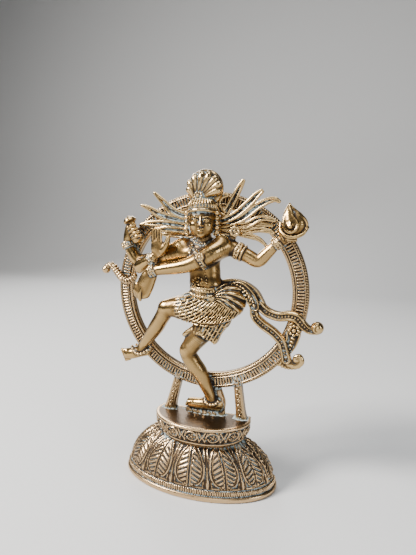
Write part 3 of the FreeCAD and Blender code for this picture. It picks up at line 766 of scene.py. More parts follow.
def rear_right_arm():
    name = "rear_right_arm"
    strand(name, [(12.9, 0.2, 0.9, 3.2), (5.5, 0.2, -1.7, 2.9), (-1.5, 0.1, -4.5, 2.6),
                  (-7.1, -0.2, -5.3, 2.6), (-9.8, -0.4, -2.5, 2.3), (-11.7, -0.6, 0.9, 1.8),
                  (-11.4, -0.6, 4.1, 2.1), (-10.7, -0.6, 7.3, 2.1)], blend=1.2)
    for i in range(4):
        share = i / 3
        knuckle = (-10.7 + 1.9 * share, -2.2, 7.1 - 3.7 * share, 0.66)
        bend = (-9.0 + 2.3 * share, -3.4, 8.3 - 3.9 * share, 0.7)
        tip = (-7.4 + 2.7 * share, -3.0, 9.0 - 4.2 * share, 0.6)
        strand(name, [knuckle, bend, tip], blend=0.04)
    bracelet("rear_right_bracelet", (0, -0.1, 0.9), (-0.45, 0, 1), 2.15, 0.5)


def hand_drum():
    """Hourglass drum leaning in the fist: two rounded ends and a roped waist."""
    name = "hand_drum"
    top, waist, bottom = vec(-1.9, -0.2, 4.2), vec(0.2, -0.2, 0.4), vec(2.3, -0.4, -3.6)
    axis = bottom - top
    turn = frame_about(axis)
    for end, wide in ((top, 2.9), (bottom, 2.4)):
        ball(name, end, (wide, 2.4, 1.5), blend=0.3, turn=turn)
        band_loop(name, end + axis * (0.04 if end is top else -0.05), axis, wide - 0.15, 2.2, 0.4)
        ball(name, end + (end - waist) * 0.35, (0.8, 0.8, 0.6), blend=0.2, turn=turn)
        strand(name, [(*(end * 0.85 + waist * 0.15), 1.9), (*waist, 1.1)], blend=0.3, steps=1)
    for back in (0.14, 0.24):
        band_loop(name, bottom - axis * back, axis, 2.3 - 2.4 * back, 2.2 - 2.4 * back, 0.4)


def flame_bowl():
    """Onion-shaped flame with nested tongues in a shallow bowl."""
    name = "flame_bowl"
    ball(name, (-0.5, -0.1, -2.1), (4.6, 2.9, 4.4), blend=0.4)
    strand(name, [(-1.3, -0.5, -1.0, 3.2), (-2.1, -0.4, 2.6, 2.0), (-2.1, -0.2, 5.9, 0.5)], blend=0.5)
    strand(name, [(1.1, -0.1, -1.2, 2.9), (0.9, -0.1, 1.0, 2.2), (-0.1, -0.1, 3.0, 1.2)], blend=0.5)
    outer = [(-2.0, -0.7, 5.6, 0.4), (0.8, -1.1, 3.0, 0.6), (3.4, -0.9, 0.6, 0.65), (4.2, -0.9, -1.8, 0.65),
             (3.1, -1.5, -4.2, 0.6)]
    strand(name, outer, blend=0.15)
    tongue = [(-2.2, -0.9, 5.0, 0.4), (-0.6, -2.3, 1.8, 0.55), (1.1, -2.7, -0.8, 0.6),
              (0.7, -3.2, -3.2, 0.6), (-1.5, -3.4, -4.1, 0.6), (-3.3, -3.0, -2.4, 0.6),
              (-3.6, -2.3, 0.6, 0.55), (-2.7, -1.3, 3.8, 0.45)]
    strand(name, tongue, blend=0.12)
    core = [(-2.1, -1.7, 2.2, 0.4), (-1.3, -3.0, -0.6, 0.7), (-1.2, -3.4, -2.1, 0.8),
            (-2.2, -3.1, -1.4, 0.55), (-2.4, -2.3, 0.8, 0.45)]
    strand(name, core, blend=0.15)
    rim = [(-5.1, -0.9, -0.8, 0.5), (-4.7, -2.1, -3.6, 0.6), (-2.7, -3.1, -5.4, 0.65),
           (0.1, -3.3, -5.8, 0.65), (3.1, -2.5, -4.6, 0.6), (4.7, -1.1, -2.2, 0.5)]
    strand(name, rim, blend=0.15)
    lower = [(-3.9, -1.3, -5.2, 0.5), (-1.9, -2.5, -6.6, 0.55), (0.9, -2.5, -6.8, 0.5)]
    strand(name, lower, blend=0.15)


# ---------------------------------------------------------------- head

HEAD = MIDDLE["head"] + vec(-0.2, 0, 1.4)
HEAD_TURN = math.radians(13)
HEAD_AXES = np.array([[math.cos(HEAD_TURN), math.sin(HEAD_TURN), 0],
                      [math.sin(HEAD_TURN), -math.cos(HEAD_TURN), 0],
                      [0, 0, 1]], dtype=np.float32)


def on_head(right, front, up):
    """Point given in the head's own right, front and up."""
    return HEAD + right * HEAD_AXES[0] + front * HEAD_AXES[1] + up * HEAD_AXES[2]


def head_line(owner, rows, blend=0.2, steps=4, cut=False):
    strand(owner, [(*on_head(*row[:3]), row[3]) for row in rows], blend=blend, steps=steps, cut=cut,
           about=ORIGIN)


def head_ball(owner, place, semi, blend=0.5, cut=False, relief=None):
    ball(owner, on_head(*place), semi, blend=blend, turn=HEAD_AXES, cut=cut, relief=relief, about=ORIGIN)


def head():
    name = "head"
    head_ball(name, (0, -0.2, 0.6), (5.3, 5.4, 6.3), blend=0.5)
    head_ball(name, (0, 1.7, -2.9), (4.2, 3.4, 3.7), blend=1.4)
    for side in (-1, 1):
        head_ball(name, (side * 2.3, 3.3, -1.7), (1.9, 1.7, 1.9), blend=1.0)
        head_ball(name, (side * 2.1, 5.7, 0.15), (1.55, 1.0, 0.85), blend=0.6, cut=True)
        head_ball(name, (side * 2.1, 4.35, 0.05), (1.15, 0.85, 0.6), blend=0.15)
        head_line(name, [(side * 3.4, 3.9, 0.0, 0.16), (side * 2.7, 4.85, 0.5, 0.2),
                         (side * 1.8, 5.2, 0.55, 0.2), (side * 0.95, 5.0, -0.05, 0.16)], blend=0.12)
        head_line(name, [(side * 3.3, 3.9, -0.1, 0.12), (side * 2.2, 4.95, -0.5, 0.17),
                         (side * 1.1, 4.9, -0.15, 0.12)], 0.12)
        head_line(name, [(side * 3.8, 3.6, 1.0, 0.18), (side * 2.5, 4.8, 1.55, 0.3),
                         (side * 0.9, 5.25, 1.2, 0.28)], 0.35)
        head_ball(name, (side * 0.72, 5.35, -1.75), (0.5, 0.55, 0.45), blend=0.3)
        head_ball(name, (side * 5.2, 0.0, -0.5), (0.8, 1.4, 2.1), blend=0.4)
        head_ball(name, (side * 5.7, 0.2, -0.4), (0.4, 0.8, 1.2), blend=0.3, cut=True)
        head_line(name, [(side * 1.5, 4.55, -3.15, 0.2), (side * 0.6, 5.2, -2.95, 0.3),
                         (0, 5.3, -3.05, 0.28)], 0.15)
    head_line(name, [(0, 4.9, 1.3, 0.45), (0, 5.5, 0.1, 0.5), (0, 6.15, -1.5, 0.62)], blend=0.45)
    head_line(name, [(-1.2, 4.55, -3.6, 0.25), (0, 5.2, -3.85, 0.42), (1.2, 4.55, -3.6, 0.25)], blend=0.18)
    head_ball(name, (0, 4.0, -5.1), (1.3, 1.1, 1.1), blend=0.8)
    for side, node in ((1, "earring_left"), (-1, "earring_right")):
        band_loop(node, on_head(side * 5.4, 0.6, -3.9), HEAD_AXES[1], 1.1, 1.3, 0.42, about=ORIGIN)
        ball(node, on_head(side * 5.4, 0.9, -5.1), 0.7, blend=0.15, about=ORIGIN)


def round_head(share, rise, wide=5.3, deep=5.45):
    """Point on the brow's oval. share runs 0 to 1 round the head from the front."""
    turn = 2 * math.pi * share
    right = wide * math.sin(turn)
    return on_head(right, deep * math.cos(turn) - 0.2, rise - 0.028 * right ** 2)


def crown_band():
    name = "crown_band"
    head_ball(name, (0, -0.2, 4.6), (5.3, 5.5, 3.9), blend=0.2)
    steps = 24
    for rise, size, wide in ((4.0, 0.62, 5.35), (4.9, 0.34, 5.3)):
        rows = [(*round_head(i / steps, rise, wide, wide * 1.03), size) for i in range(steps + 1)]
        strand(name, rows, blend=0.12, steps=1, about=ORIGIN)
    ticks = 30
    for i in range(ticks):
        share = (i + 0.5) / ticks
        low = round_head(share, 5.35, 5.4, 5.55)
        middle = round_head(share, 6.6, 5.2, 5.35)
        high = round_head(share, 7.9, 4.3, 4.4)
        strand(name, [(*low, 0.36), (*middle, 0.4), (*high, 0.34)], blend=0.05, steps=2, about=ORIGIN)


def topknot():
    name = "topknot"
    centre = vec(0, 1.2, -1.4)
    root = vec(-1.8, -1.4, -4.6)
    top = float(CAD_BOX[1][2]) / MM - float(MIDDLE[name][2])
    semi = vec(7.0, 2.7, top - 0.35 - float(centre[2]))
    ball(name, centre, semi, blend=0.3)
    folds = 8
    fold_wide, fold_high = 7.1, top - 0.8 - centre[2]
    for i in range(folds):
        turn = math.radians(-100 + 208 * i / (folds - 1))
        reach = 0.9 / math.sqrt((math.sin(turn) / fold_wide) ** 2 + (math.cos(turn) / fold_high) ** 2)
        rim = centre + vec(math.sin(turn) * reach * 0.94 - 0.3, -1.0, math.cos(turn) * reach)
        bow = centre + vec(math.sin(turn) * reach * 0.84, -2.3, math.cos(turn) * reach * 0.6)
        start = root + vec(1.9 * math.sin(turn), 0.6, 1.2 * math.cos(turn))
        strand(name, [(*start, 0.8), (*bow, 1.5), (*rim, 0.9)], blend=0.06, steps=4)
    ball(name, root, (1.7, 1.1, 1.5), blend=0.3)
    bead_loop(name, root + vec(0, -0.7, 0.1), (0, -1, 0.15), 1.45, 1.3, 9, 0.46)
    ball(name, root + vec(0, -1.0, 0.1), 0.65, blend=0.1)


def hair_lock(owner, rows, deep, size=0.5):
    """A lock of hair: two ridges side by side that meet at a round tip, over a thinner web."""
    path = smooth_path(rows, 4)
    heading = np.gradient(path[:, :2], axis=0)
    heading /= np.linalg.norm(heading, axis=1, keepdims=True) + 1e-9
    across = np.column_stack([-heading[:, 1], heading[:, 0]])
    apart = np.maximum(path[:, 2] - size + 0.12, 0.1)
    for side in (-1, 1):
        ridge = path[:, :2] + side * across * apart[:, None]
        strand(owner, [(x, deep, z, size) for x, z in ridge], blend=0.1, steps=1)
    strand(owner, [(x, deep + 1.1, z, max(half - 0.3, 0.4)) for x, z, half in path], blend=0.1, steps=1,
           flat=0.8)


def hair():
    left, right = "hair_locks_left", "hair_locks_right"
    hair_lock(left, [(10.5, -0.3, 1.5), (7.0, -0.1, 1.5), (2.5, 1.7, 1.5), (-1.3, 5.1, 1.15),
                     (-5.1, 8.5, 0.55)], -0.4)
    hair_lock(left, [(10.5, -2.3, 1.4), (7.0, -2.2, 1.4), (0.8, -1.0, 1.5), (-4.4, 0.8, 1.3),
                     (-8.0, 2.8, 0.9), (-10.9, 3.7, 0.5)], 0)
    hair_lock(left, [(10.5, -4.2, 1.2), (5.5, -3.9, 1.3), (-1.5, -3.3, 1.3), (-7.5, -3.3, 1.0),
                     (-11.7, -4.0, 0.5)], 0.2)
    hair_lock(left, [(10.5, -5.9, 1.2), (5.9, -5.8, 1.2), (0.5, -5.5, 1.2), (-5.1, -5.7, 0.6)], 0)
    hair_lock(left, [(10.9, -7.6, 1.1), (6.1, -7.7, 1.1), (1.5, -7.7, 0.9), (-2.1, -7.5, 0.5)], 0.4)
    hair_lock(right, [(-10.0, -0.3, 1.2), (-8.3, 0.3, 1.3), (-5.8, 4.5, 1.35), (-3.5, 8.9, 1.15),
                      (-1.8, 12.0, 0.65)], -0.4)
    hair_lock(right, [(-7.6, 6.7, 0.7), (-9.8, 6.1, 0.9), (-11.2, 3.7, 1.0), (-10.0, 0.9, 1.0),
                      (-8.6, -0.1, 0.9)], -1.2)
    hair_lock(right, [(-11.4, -3.1, 1.2), (-8.4, -2.5, 1.3), (-4.4, -0.5, 1.4), (0.3, 3.6, 1.4),
                      (3.2, 6.6, 1.2), (5.2, 8.2, 0.8)], -0.2)
    hair_lock(right, [(-10.4, -4.5, 1.1), (-8.0, -4.1, 1.2), (-2.0, -1.7, 1.4), (3.4, 2.5, 1.4),
                      (7.3, 4.6, 1.2), (10.0, 5.1, 0.9), (11.6, 4.3, 0.6)], 0)
    hair_lock(right, [(-10.4, -5.6, 1.0), (-8.0, -5.3, 1.1), (-0.4, -4.3, 1.3), (3.6, -2.1, 1.2),
                      (6.8, -1.6, 1.0), (10.3, -2.5, 0.55)], 0.2)
    hair_lock(right, [(-2.0, -7.3, 0.9), (3.7, -5.9, 1.0), (8.0, -6.3, 0.8), (10.0, -7.0, 0.5)], 0.4)
    hair_lock(right, [(-9.0, -6.7, 1.0), (-2.0, -5.5, 1.0), (4.0, -3.9, 0.9), (9.4, -4.3, 0.5)], 0.6)
    hair_lock(right, [(-2.6, -7.7, 0.9), (1.0, -8.3, 1.0), (4.4, -9.3, 0.8), (7.0, -11.3, 0.5)], 0.4)
    hair_lock(right, [(-10.4, -7.1, 1.0), (-7.6, -7.6, 1.0), (-5.0, -8.3, 0.9)], 0.2)
    for name, x, z in ((left, 9.9, -6.3), (right, -10.8, -7.3)):
        for step in range(5):
            ball(name, (x, -2.6 - 0.12 * step, z + 1.8 * step), (1.25, 1.6, 1.05), blend=0.25)


# ---------------------------------------------------------------- dress and ornaments

KNOT = MIDDLE["skirt_upper"] + vec(1.6, -5.5, 3.3)


def fold_relief(points):
    """Fur strokes: radiating from the knot over the near hip, in slanting tufts everywhere else."""
    x = points[:, 0] - KNOT[0]
    z = points[:, 2] - KNOT[2]
    radius = np.sqrt(x * x + z * z)
    turn = np.arctan2(z, x)
    fan = wave((turn + 0.06 * radius) * 12 / math.pi, 1.1) - 0.4
    near = 1 / (1 + np.exp((-turn - 0.45) / 0.12)) * (turn < 2.0)
    # the tufts lie along curves whose slope grows steadily from the thigh to the hip
    gain, low, high = math.radians(3.0), math.radians(10), math.radians(56)
    slope = math.radians(16) + gain * (x + 10)
    level = z + np.log(np.cos(np.clip(slope, low, high))) / gain
    level = level - math.tan(high) * np.maximum(slope - high, 0) / gain
    level = level - math.tan(low) * np.minimum(slope - low, 0) / gain
    level = level * np.cos(math.radians(33))
    slide = x / np.cos(math.radians(33))
    steep = math.radians(62)
    below = z < -9.4
    level = np.where(below, z * math.cos(steep) - x * math.sin(steep), level)
    slide = np.where(below, z, slide)
    pitch, length = 1.12, 3.0
    row = np.round(level / pitch)
    across = level / pitch - row
    along = slide / length + 0.62 * row + 0.12 * np.sin(2.3 * row)
    along = np.abs(along - np.round(along))
    stroke = np.exp(-(across / 0.24) ** 2) / (1 + np.exp((along - 0.39) / 0.035))
    seam = hill(z - 0.014 * (x + 2) ** 2, -9.9, 0.5)
    tuft = 0.25 - 1.3 * np.maximum(stroke, seam)
    front = np.clip((-2.5 - points[:, 1]) / 4.0, 0.2, 1)
    fade = np.clip((radius - 0.8) / 1.4, 0, 1) * front
    return fade * np.where(near > 0.5, 0.66 * fan, 0.6 * tuft)


def skirt():
    upper, lower = "skirt_upper", "skirt_lower"
    hips = (((1.4, 1.1, 0.5), (11.7, 6.2, 7.0), 1.0), ((7.8, 0.9, 3.1), (6.3, 5.2, 5.6), 1.5))
    for place, semi, blend in hips:
        def hip_relief(p, centre=MIDDLE[upper] + vec(*place)):
            return fold_relief(p + centre)
        ball(upper, place, semi, blend=blend, relief=hip_relief)

    def sleeve_relief(along, p):
        return fold_relief(p)
    strand(upper, [(-1.0, 0.1, 0.1, 6.0), (-5.6, -0.9, -0.7, 5.8), (-9.0, -1.9, -1.3, 5.2)], blend=1.6,
           bumps=sleeve_relief)
    strand(upper, [(-7.6, -3.7, -5.2, 1.2), (-2.6, -4.3, -5.9, 1.6), (3.0, -3.9, -5.7, 1.7),
                   (8.0, -1.5, -3.9, 1.4)], blend=1.6, bumps=sleeve_relief)
    strand(lower, [(4.0, 0.5, 5.0, 5.5), (1.2, 0.1, 1.4, 5.4), (-0.4, -0.3, -2.8, 5.2)], blend=0.5,
           bumps=sleeve_relief)
    ball(lower, (-4.6, -1.5, -9.0), (9.2, 9.5, 8.7), blend=0.3, cut=True)
    strand(lower, [(-5.4, -2.1, -0.6, 1.4), (-7.6, -2.3, -1.8, 1.1), (-9.0, -2.3, -2.7, 0.7)], blend=0.5)
    strand(lower, [(2.2, -2.5, -2.6, 1.6), (3.4, -1.9, -4.1, 1.1)], blend=0.5, steps=1)
    for i in range(7):
        share = i / 6
        x = -5.4 + 8.8 * share
        z = -9.0 + 8.7 * math.sqrt(1 - ((x + 4.6) / 9.2) ** 2)
        y = -2.7 - 2.2 * math.sin(math.pi * share)
        strand(lower, [(x + 0.7, y + 0.4, z + 1.6, 0.6), (x + 0.1, y, z - 0.1, 0.5)], blend=0.25, steps=1)


def belt():
    name = "belt"
    centre = vec(0.1, -0.1, -0.3)
    axis = (0.07, -0.1, 1)
    band_loop(name, centre + vec(0, 0, -1.0), axis, 6.9, 5.4, 0.5, blend=0.2)
    band_loop(name, centre + vec(0, 0, 1.0), axis, 6.7, 5.3, 0.45, blend=0.2)
    bead_loop(name, centre, axis, 7.0, 5.6, 36, 0.62)
    bead_loop(name, centre + vec(0, 0, -1.9), axis, 7.3, 5.9, 36, 0.62)
    ball("skirt_upper", KNOT + vec(-0.2, 0.9, 0.2), (1.7, 1.1, 1.3), blend=0.8, about=ORIGIN)


def necklace():
    name = "necklace"
    bead_loop(name, (0.4, 0, 3.2), (0.05, -0.35, 1), 4.0, 3.7, 24, 0.42)
    bead_loop(name, (0.2, -0.4, 1.6), (0.05, -0.5, 1), 5.4, 4.5, 34, 0.4)
    bead_line(name, [(-2.9, -3.7, 1.4), (-3.7, -4.3, -1.2), (-3.3, -4.7, -3.8)], 0.95, 0.42)
    bead_line(name, [(-4.0, -3.5, 1.0), (-4.8, -4.0, -1.2), (-4.5, -4.5, -3.4)], 0.95, 0.36)


def rail_relief(across, wide, along):
    """Raised edges with a bead row between them."""
    share = np.abs(across) / np.maximum(wide, 0.2)
    beads = hill(across, 0.0, 0.5) * wave(along / 1.35, 1.2)
    return 0.62 * hill(share, 0.86, 0.16) + 0.5 * beads - 0.05


def twin_relief(across, wide, along):
    """Two cords along the band with a row of low beads between them."""
    share = across / np.maximum(wide, 0.2)
    cords = hill(share, 0.62, 0.26) + hill(share, -0.62, 0.26)
    return 0.62 * cords + 0.3 * hill(share, 0.0, 0.2) * wave(along / 1.2, 1.2)


def sash():
    loop, upper, lower, clasp = "sash_loop", "sash_upper_tail", "sash_lower_tail", "sash_clasp"
    body = [(-8.2, 0.6, 3.6, 1.6), (-4.6, 0.6, 3.9, 2.1), (0, 0.6, 3.0, 2.5), (4.0, 0.6, 0.4, 2.7),
            (6.6, 0.6, -3.2, 2.4)]
    face = [(-3.4, -0.4, 4.2, 0.5), (-0.4, -1.1, 3.4, 1.8), (2.8, -1.1, 1.0, 2.0), (4.6, -1.0, -1.8, 2.0),
            (5.2, -0.8, -3.6, 1.9)]
    ribbon(loop, body, 1.5, blend=0.6)
    ribbon(loop, face, 0.9, blend=0.15, relief=rail_relief)
    rows = (((-2.4, -2.2, 4.7), (4.0, -2.1, -2.8)), ((-2.8, -2.2, 3.2), (2.8, -2.1, -2.4)))
    for start, end in rows:
        middle = ((start[0] + end[0]) / 2 + 1.3, -2.3, (start[2] + end[2]) / 2 + 1.0)
        bead_line(loop, [start, middle, end], 1.3, 0.42)

    streamer = [(-12.3, -0.1, 4.6, 1.7), (-10.1, -0.1, 2.4, 1.8), (-7.5, -0.1, 0.8, 1.8),
                (-4.1, 0.1, 0, 1.8), (-0.5, 0.1, 0.5, 1.9), (2.5, 0.1, -0.2, 1.9), (4.5, 0.1, -2.4, 1.7),
                (6.9, 0.1, -4.1, 1.4), (9.1, 0.1, -4.2, 1.3)]
    ribbon(upper, streamer, 1.1, blend=0.4, relief=twin_relief)
    ball(upper, (9.6, -0.1, -3.1), 2.35, blend=0.4)
    band_loop(upper, (9.7, -1.9, -3.1), (0.3, -1, 0), 1.3, 1.3, 0.4)

    tail = [(-8.7, 0.1, 10.5, 1.6), (-8.1, 0, 7.7, 1.7), (-5.1, 0, 4.9, 1.8), (-1.1, 0.1, 2.3, 1.8),
            (1.9, 0.1, -0.7, 1.7), (3.3, 0.2, -4.1, 1.6), (4.1, 0.2, -7.5, 1.9)]
    ribbon(lower, tail, 1.0, blend=0.4, relief=twin_relief)
    for i in range(7):
        share = i / 6
        root = (3.5 + 1.6 * share, -0.1, -7.3 - 0.4 * share, 0.8)
        tip = (1.5 + 7.2 * share, -0.1, -10.7 + 0.9 * (2 * share - 1) ** 2, 0.62)
        strand(lower, [root, tip], blend=0.2, steps=1)
    curl = [(4.9, 0.1, -9.1, 1.3), (7.5, 0.1, -9.5, 1.3), (9.5, 0.1, -7.9, 1.2), (8.9, 0, -5.9, 1.0),
            (7.4, -0.1, -6.3, 0.8), (7.5, -0.2, -7.5, 0.7)]
    strand(lower, curl, blend=0.25)
    ball(lower, (8.3, 0.1, -7.3), (2.0, 1.2, 2.0), blend=0.3)

    ball(clasp, (0, 0.5, 3.4), (2.6, 1.8, 2.6), blend=0.4)
    bead_loop(clasp, (0, -1.1, 3.4), (0, -1, 0), 1.7, 1.7, 8, 0.62)
    ball(clasp, (0, -1.4, 3.4), 0.8, blend=0.15)
    tongue = [(-0.2, 0.9, 1.4, 2.6), (-0.8, 0.9, -1.6, 2.2), (-1.6, 0.9, -4.6, 1.3)]
    ribbon(clasp, tongue, 1.0, blend=0.3, relief=rail_relief)


def ring_serpent():
    def scales(along, p):
        return 0.14 * np.cos(along * 5.2) + 0.1 * np.cos(p[:, 2] * 4 + p[:, 0] * 4)
    strand("ring_serpent", [(-6.2, 0.1, 1.3, 1.5), (-5.1, 0.1, 2.9, 1.2), (-3.1, 0, 2.8, 1.4),
                            (-1.1, 0, 0.7, 1.5), (1.4, -0.1, -2.0, 1.55), (4.1, -0.2, -2.9, 1.55),
                            (6.3, -0.2, -2.2, 1.4), (7.4, -0.2, -0.7, 1.1)], blend=0.4, bumps=scales)
    ball("ring_serpent", (-6.3, 0.1, 1.2), 1.65, blend=0.4)


def model():
    halo_ring()
    post("ring_post_left", -1.7, 2.3, 9.5, 2.1, 1.6)
    post("ring_post_right", 0.9, -1.3, 11.1, 1.8, 1.5)
    lotus_base()
    plinth()
    foot_pad()
    torso()
    shoulder_loop()
    head()
    crown_band()
    topknot()
    hair()
    rear_left_arm()
    rear_right_arm()
    front_right_arm()
    front_left_arm()
    hand_drum()
    flame_bowl()
    skirt()
    standing_leg()
    raised_leg()
    belt()
    necklace()
    sash()
    ring_serpent()


# ---------------------------------------------------------------- meshing into pieces

def spread(quads, values, count):
    """Average of each vertex's neighbours along the quads' edges."""
    total = np.zeros((count, values.shape[1]))
    number = np.zeros(count)
    for a, b in ((0, 1), (1, 2), (2, 3), (3, 0)):
        number += np.bincount(quads[:, a], minlength=count)
        for k in range(values.shape[1]):
            total[:, k] += np.bincount(quads[:, a], weights=values[quads[:, b], k], minlength=count)
    return total / np.maximum(number, 1)[:, None]


def vertex_normals(points, quads):
    corner = points[quads]
    facing = np.cross(corner[:, 2] - corner[:, 0], corner[:, 3] - corner[:, 1])
    total = np.zeros((len(points), 3))
    for k in range(3):
        for a in range(4):
            total[:, k] += np.bincount(quads[:, a], weights=facing[:, k], minlength=len(points))
    return total / (np.linalg.norm(total, axis=1, keepdims=True) + 1e-12)


def hollows(points, quads, normal, voxel):
    """Fine and broad hollowness of each vertex, in mm: above 0 in grooves, below 0 on crests."""
    smooth = points.astype(float)
    fine_steps = max(2, round((0.45 / voxel) ** 2))
    broad_steps = max(4, min(60, round((1.35 / voxel) ** 2)))
    fine = None
    for step in range(1, broad_steps + 1):
        smooth = spread(quads, smooth, len(points))
        if step == fine_steps:
            fine = ((smooth - points) * normal).sum(axis=1)
    broad = ((smooth - points) * normal).sum(axis=1)
    return fine, broad


def build_group(voxel, owners):
    """Mesh the forms of some nodes as one surface and return {node: object}."""
    pool = [form for form in forms if form.owner in owners]
    points, quads = mesh_surface(voxel, pool)
    packed = in_cells(points, nearest_owner, forms)
    owner = np.floor(packed).astype(int)
    joint = 1 - (packed - owner) / 0.9
    normal = vertex_normals(points, quads)
    corner = points[quads]
    volume = np.einsum("ij,ij->i", corner[:, 0], np.cross(corner[:, 1], corner[:, 2])).sum()
    if volume < 0:
        quads = quads[:, ::-1]
        normal = -normal
    fine, broad = hollows(points, quads, normal, voxel)
    allowed = np.isin(owner, [NAMES.index(name) for name in owners])
    if not allowed.all():
        inside_pool = np.floor(in_cells(points[~allowed], nearest_owner, pool)).astype(int)
        owner[~allowed] = inside_pool
        joint[~allowed] = 1.0
    face_owner = owner[quads[:, 0]]
    made = {}
    for name in owners:
        own = quads[face_owner == NAMES.index(name)]
        if not len(own):
            print("no surface for", name)
            continue
        used, compact = np.unique(own, return_inverse=True)
        made[name] = make_piece(name, points[used], compact.reshape(-1, 4), normal[used],
                                {"fine": fine[used], "broad": broad[used], "joint": joint[used]})
    return made


def build_pieces():
    made = {}
    taken = set()
    for voxel, owners in GROUPS.values():
        made.update(build_group(voxel * COARSE, list(owners)))
        taken.update(owners)
    made.update(build_group(REST_VOXEL * COARSE, [name for name in NAMES if name not in taken]))
    return made


def make_piece(name, points, quads, normals, facts):
    mesh = bpy.data.meshes.new(name + "_cast")
    mesh.vertices.add(len(points))
    mesh.vertices.foreach_set("co", (points * MM).astype(np.float32).ravel())
    mesh.loops.add(quads.size)
    mesh.loops.foreach_set("vertex_index", quads.astype(np.int32).ravel())
    mesh.polygons.add(len(quads))
    mesh.polygons.foreach_set("loop_start", np.arange(0, quads.size, 4, dtype=np.int32))
    mesh.polygons.foreach_set("loop_total", np.full(len(quads), 4, dtype=np.int32))
    mesh.update(calc_edges=True)
    mesh.polygons.foreach_set("use_smooth", np.ones(len(quads), dtype=bool))
    for key, values in facts.items():
        layer = mesh.attributes.new(key, "FLOAT", "POINT")
        layer.data.foreach_set("value", values.astype(np.float32))
    mesh.validate()
    mesh.normals_split_custom_set_from_vertices(normals.tolist())
    piece = bpy.data.objects.new(name + "_cast", mesh)
    bpy.context.collection.objects.link(piece)
    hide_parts(name)
    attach(piece, "root")
    return piece


# ---------------------------------------------------------------- materials

def node_maker(material):
    tree = material.node_tree

    def make(kind, **settings):
        node = tree.nodes.new(kind)
        for key, value in settings.items():
            setattr(node, key, value)
        return node
    return tree, make


def brass(name, bright, body, shade_and_patina_colour, residue=0.5, wear=0.5, rough=0.36):
    """Aged cast brass: bright worn crests, brown body, hollows darkened by patina and by painted shade, pale
    residue in the deepest.
    """
    material = bpy.data.materials.new(name)
    material.use_nodes = True
    tree, make = node_maker(material)
    shader = tree.nodes["Principled BSDF"]
    link = tree.links.new
    where = make("ShaderNodeTexCoord")
    fine = make("ShaderNodeAttribute", attribute_name="fine").outputs["Fac"]
    broad = make("ShaderNodeAttribute", attribute_name="broad").outputs["Fac"]
    joint = make("ShaderNodeAttribute", attribute_name="joint").outputs["Fac"]

    def noise(scale, detail=4.0, rough=0.6):
        node = make("ShaderNodeTexNoise")
        node.inputs["Scale"].default_value = scale
        node.inputs["Detail"].default_value = detail
        node.inputs["Roughness"].default_value = rough
        link(where.outputs["Object"], node.inputs["Vector"])
        return node.outputs["Fac"]

    def math_node(kind, a, b=None, clamp=False):
        node = make("ShaderNodeMath", operation=kind, use_clamp=clamp)
        for socket, value in zip(node.inputs, (a, b)):
            if value is None:
                continue
            if isinstance(value, (int, float)):
                socket.default_value = value
            else:
                link(value, socket)
        return node.outputs[0]

    def ramp(value, low, high, start=0.0, end=1.0):
        node = make("ShaderNodeMapRange", interpolation_type="SMOOTHSTEP")
        link(value, node.inputs["Value"])
        node.inputs["From Min"].default_value = low
        node.inputs["From Max"].default_value = high
        node.inputs["To Min"].default_value = start
        node.inputs["To Max"].default_value = end
        return node.outputs["Result"]

    def mix(share, a, b):
        node = make("ShaderNodeMix", data_type="RGBA")
        link(share, node.inputs["Factor"])
        for socket, value in ((node.inputs[6], a), (node.inputs[7], b)):
            if isinstance(value, tuple):
                socket.default_value = (*value, 1)
            else:
                link(value, socket)
        return node.outputs[2]

    patch = noise(160.0, 5.0)
    speck = noise(900.0, 3.0)
    cloud = noise(45.0, 2.0)
    uneven = math_node("MULTIPLY", math_node("SUBTRACT", patch, 0.5), 0.10)
    groove = math_node("ADD", math_node("MULTIPLY", fine, 3.2), math_node("MULTIPLY", broad, 1.3))
    # darkening of the hollows: real patina along the fine grooves, painted shade from the broad hollowness,
    # plus random patches
    shade_and_patina_level = math_node("ADD", groove, uneven)
    # painted shade where another part comes near
    shade_and_patina_level = math_node("ADD", shade_and_patina_level, math_node("MULTIPLY", ramp(joint, 0.45, 1.0), 0.2))
    rubbed = math_node("SUBTRACT", uneven, groove)
    tone = mix(ramp(cloud, 0.35, 0.65), body, tuple(0.75 * v for v in body))
    tone = mix(ramp(rubbed, 0.03, 0.26, 0.0, wear), tone, bright)
    # share of the hollow colour: patina and painted shade together
    shade_and_patina_share = ramp(shade_and_patina_level, 0.02, 0.26)
    tone = mix(shade_and_patina_share, tone, shade_and_patina_colour)
    settled = math_node("ADD", shade_and_patina_level, math_node("MULTIPLY", ramp(joint, 0.1, 0.8), 0.6 * residue))
    chalk = math_node("MULTIPLY", ramp(settled, 0.26, 0.5),
                      ramp(math_node("ADD", speck, math_node("MULTIPLY", cloud, 0.8)),
                           1.15 - 0.45 * residue, 1.3 - 0.4 * residue))
    tone = mix(chalk, tone, (0.36, 0.44, 0.45))
    link(tone, shader.inputs["Base Color"])
    metal = math_node("SUBTRACT", 1.0, math_node("MAXIMUM", math_node("MULTIPLY", shade_and_patina_share, 0.35), chalk),
                      clamp=True)
    link(metal, shader.inputs["Metallic"])
    roughness = math_node("ADD", rough, math_node("MULTIPLY", shade_and_patina_share, 0.24))
    roughness = math_node("SUBTRACT", roughness, ramp(rubbed, 0.02, 0.3, 0.0, 0.12))
    roughness = math_node("ADD", roughness, math_node("MULTIPLY", math_node("SUBTRACT", patch, 0.5), 0.22))
    roughness = math_node("ADD", roughness, math_node("MULTIPLY", chalk, 0.4), clamp=True)
    link(roughness, shader.inputs["Roughness"])
    bump = make("ShaderNodeBump")
    bump.inputs["Strength"].default_value = 0.3
    bump.inputs["Distance"].default_value = 0.0003
    link(math_node("ADD", math_node("MULTIPLY", speck, 0.5), patch), bump.inputs["Height"])
    link(bump.outputs["Normal"], shader.inputs["Normal"])
    return material


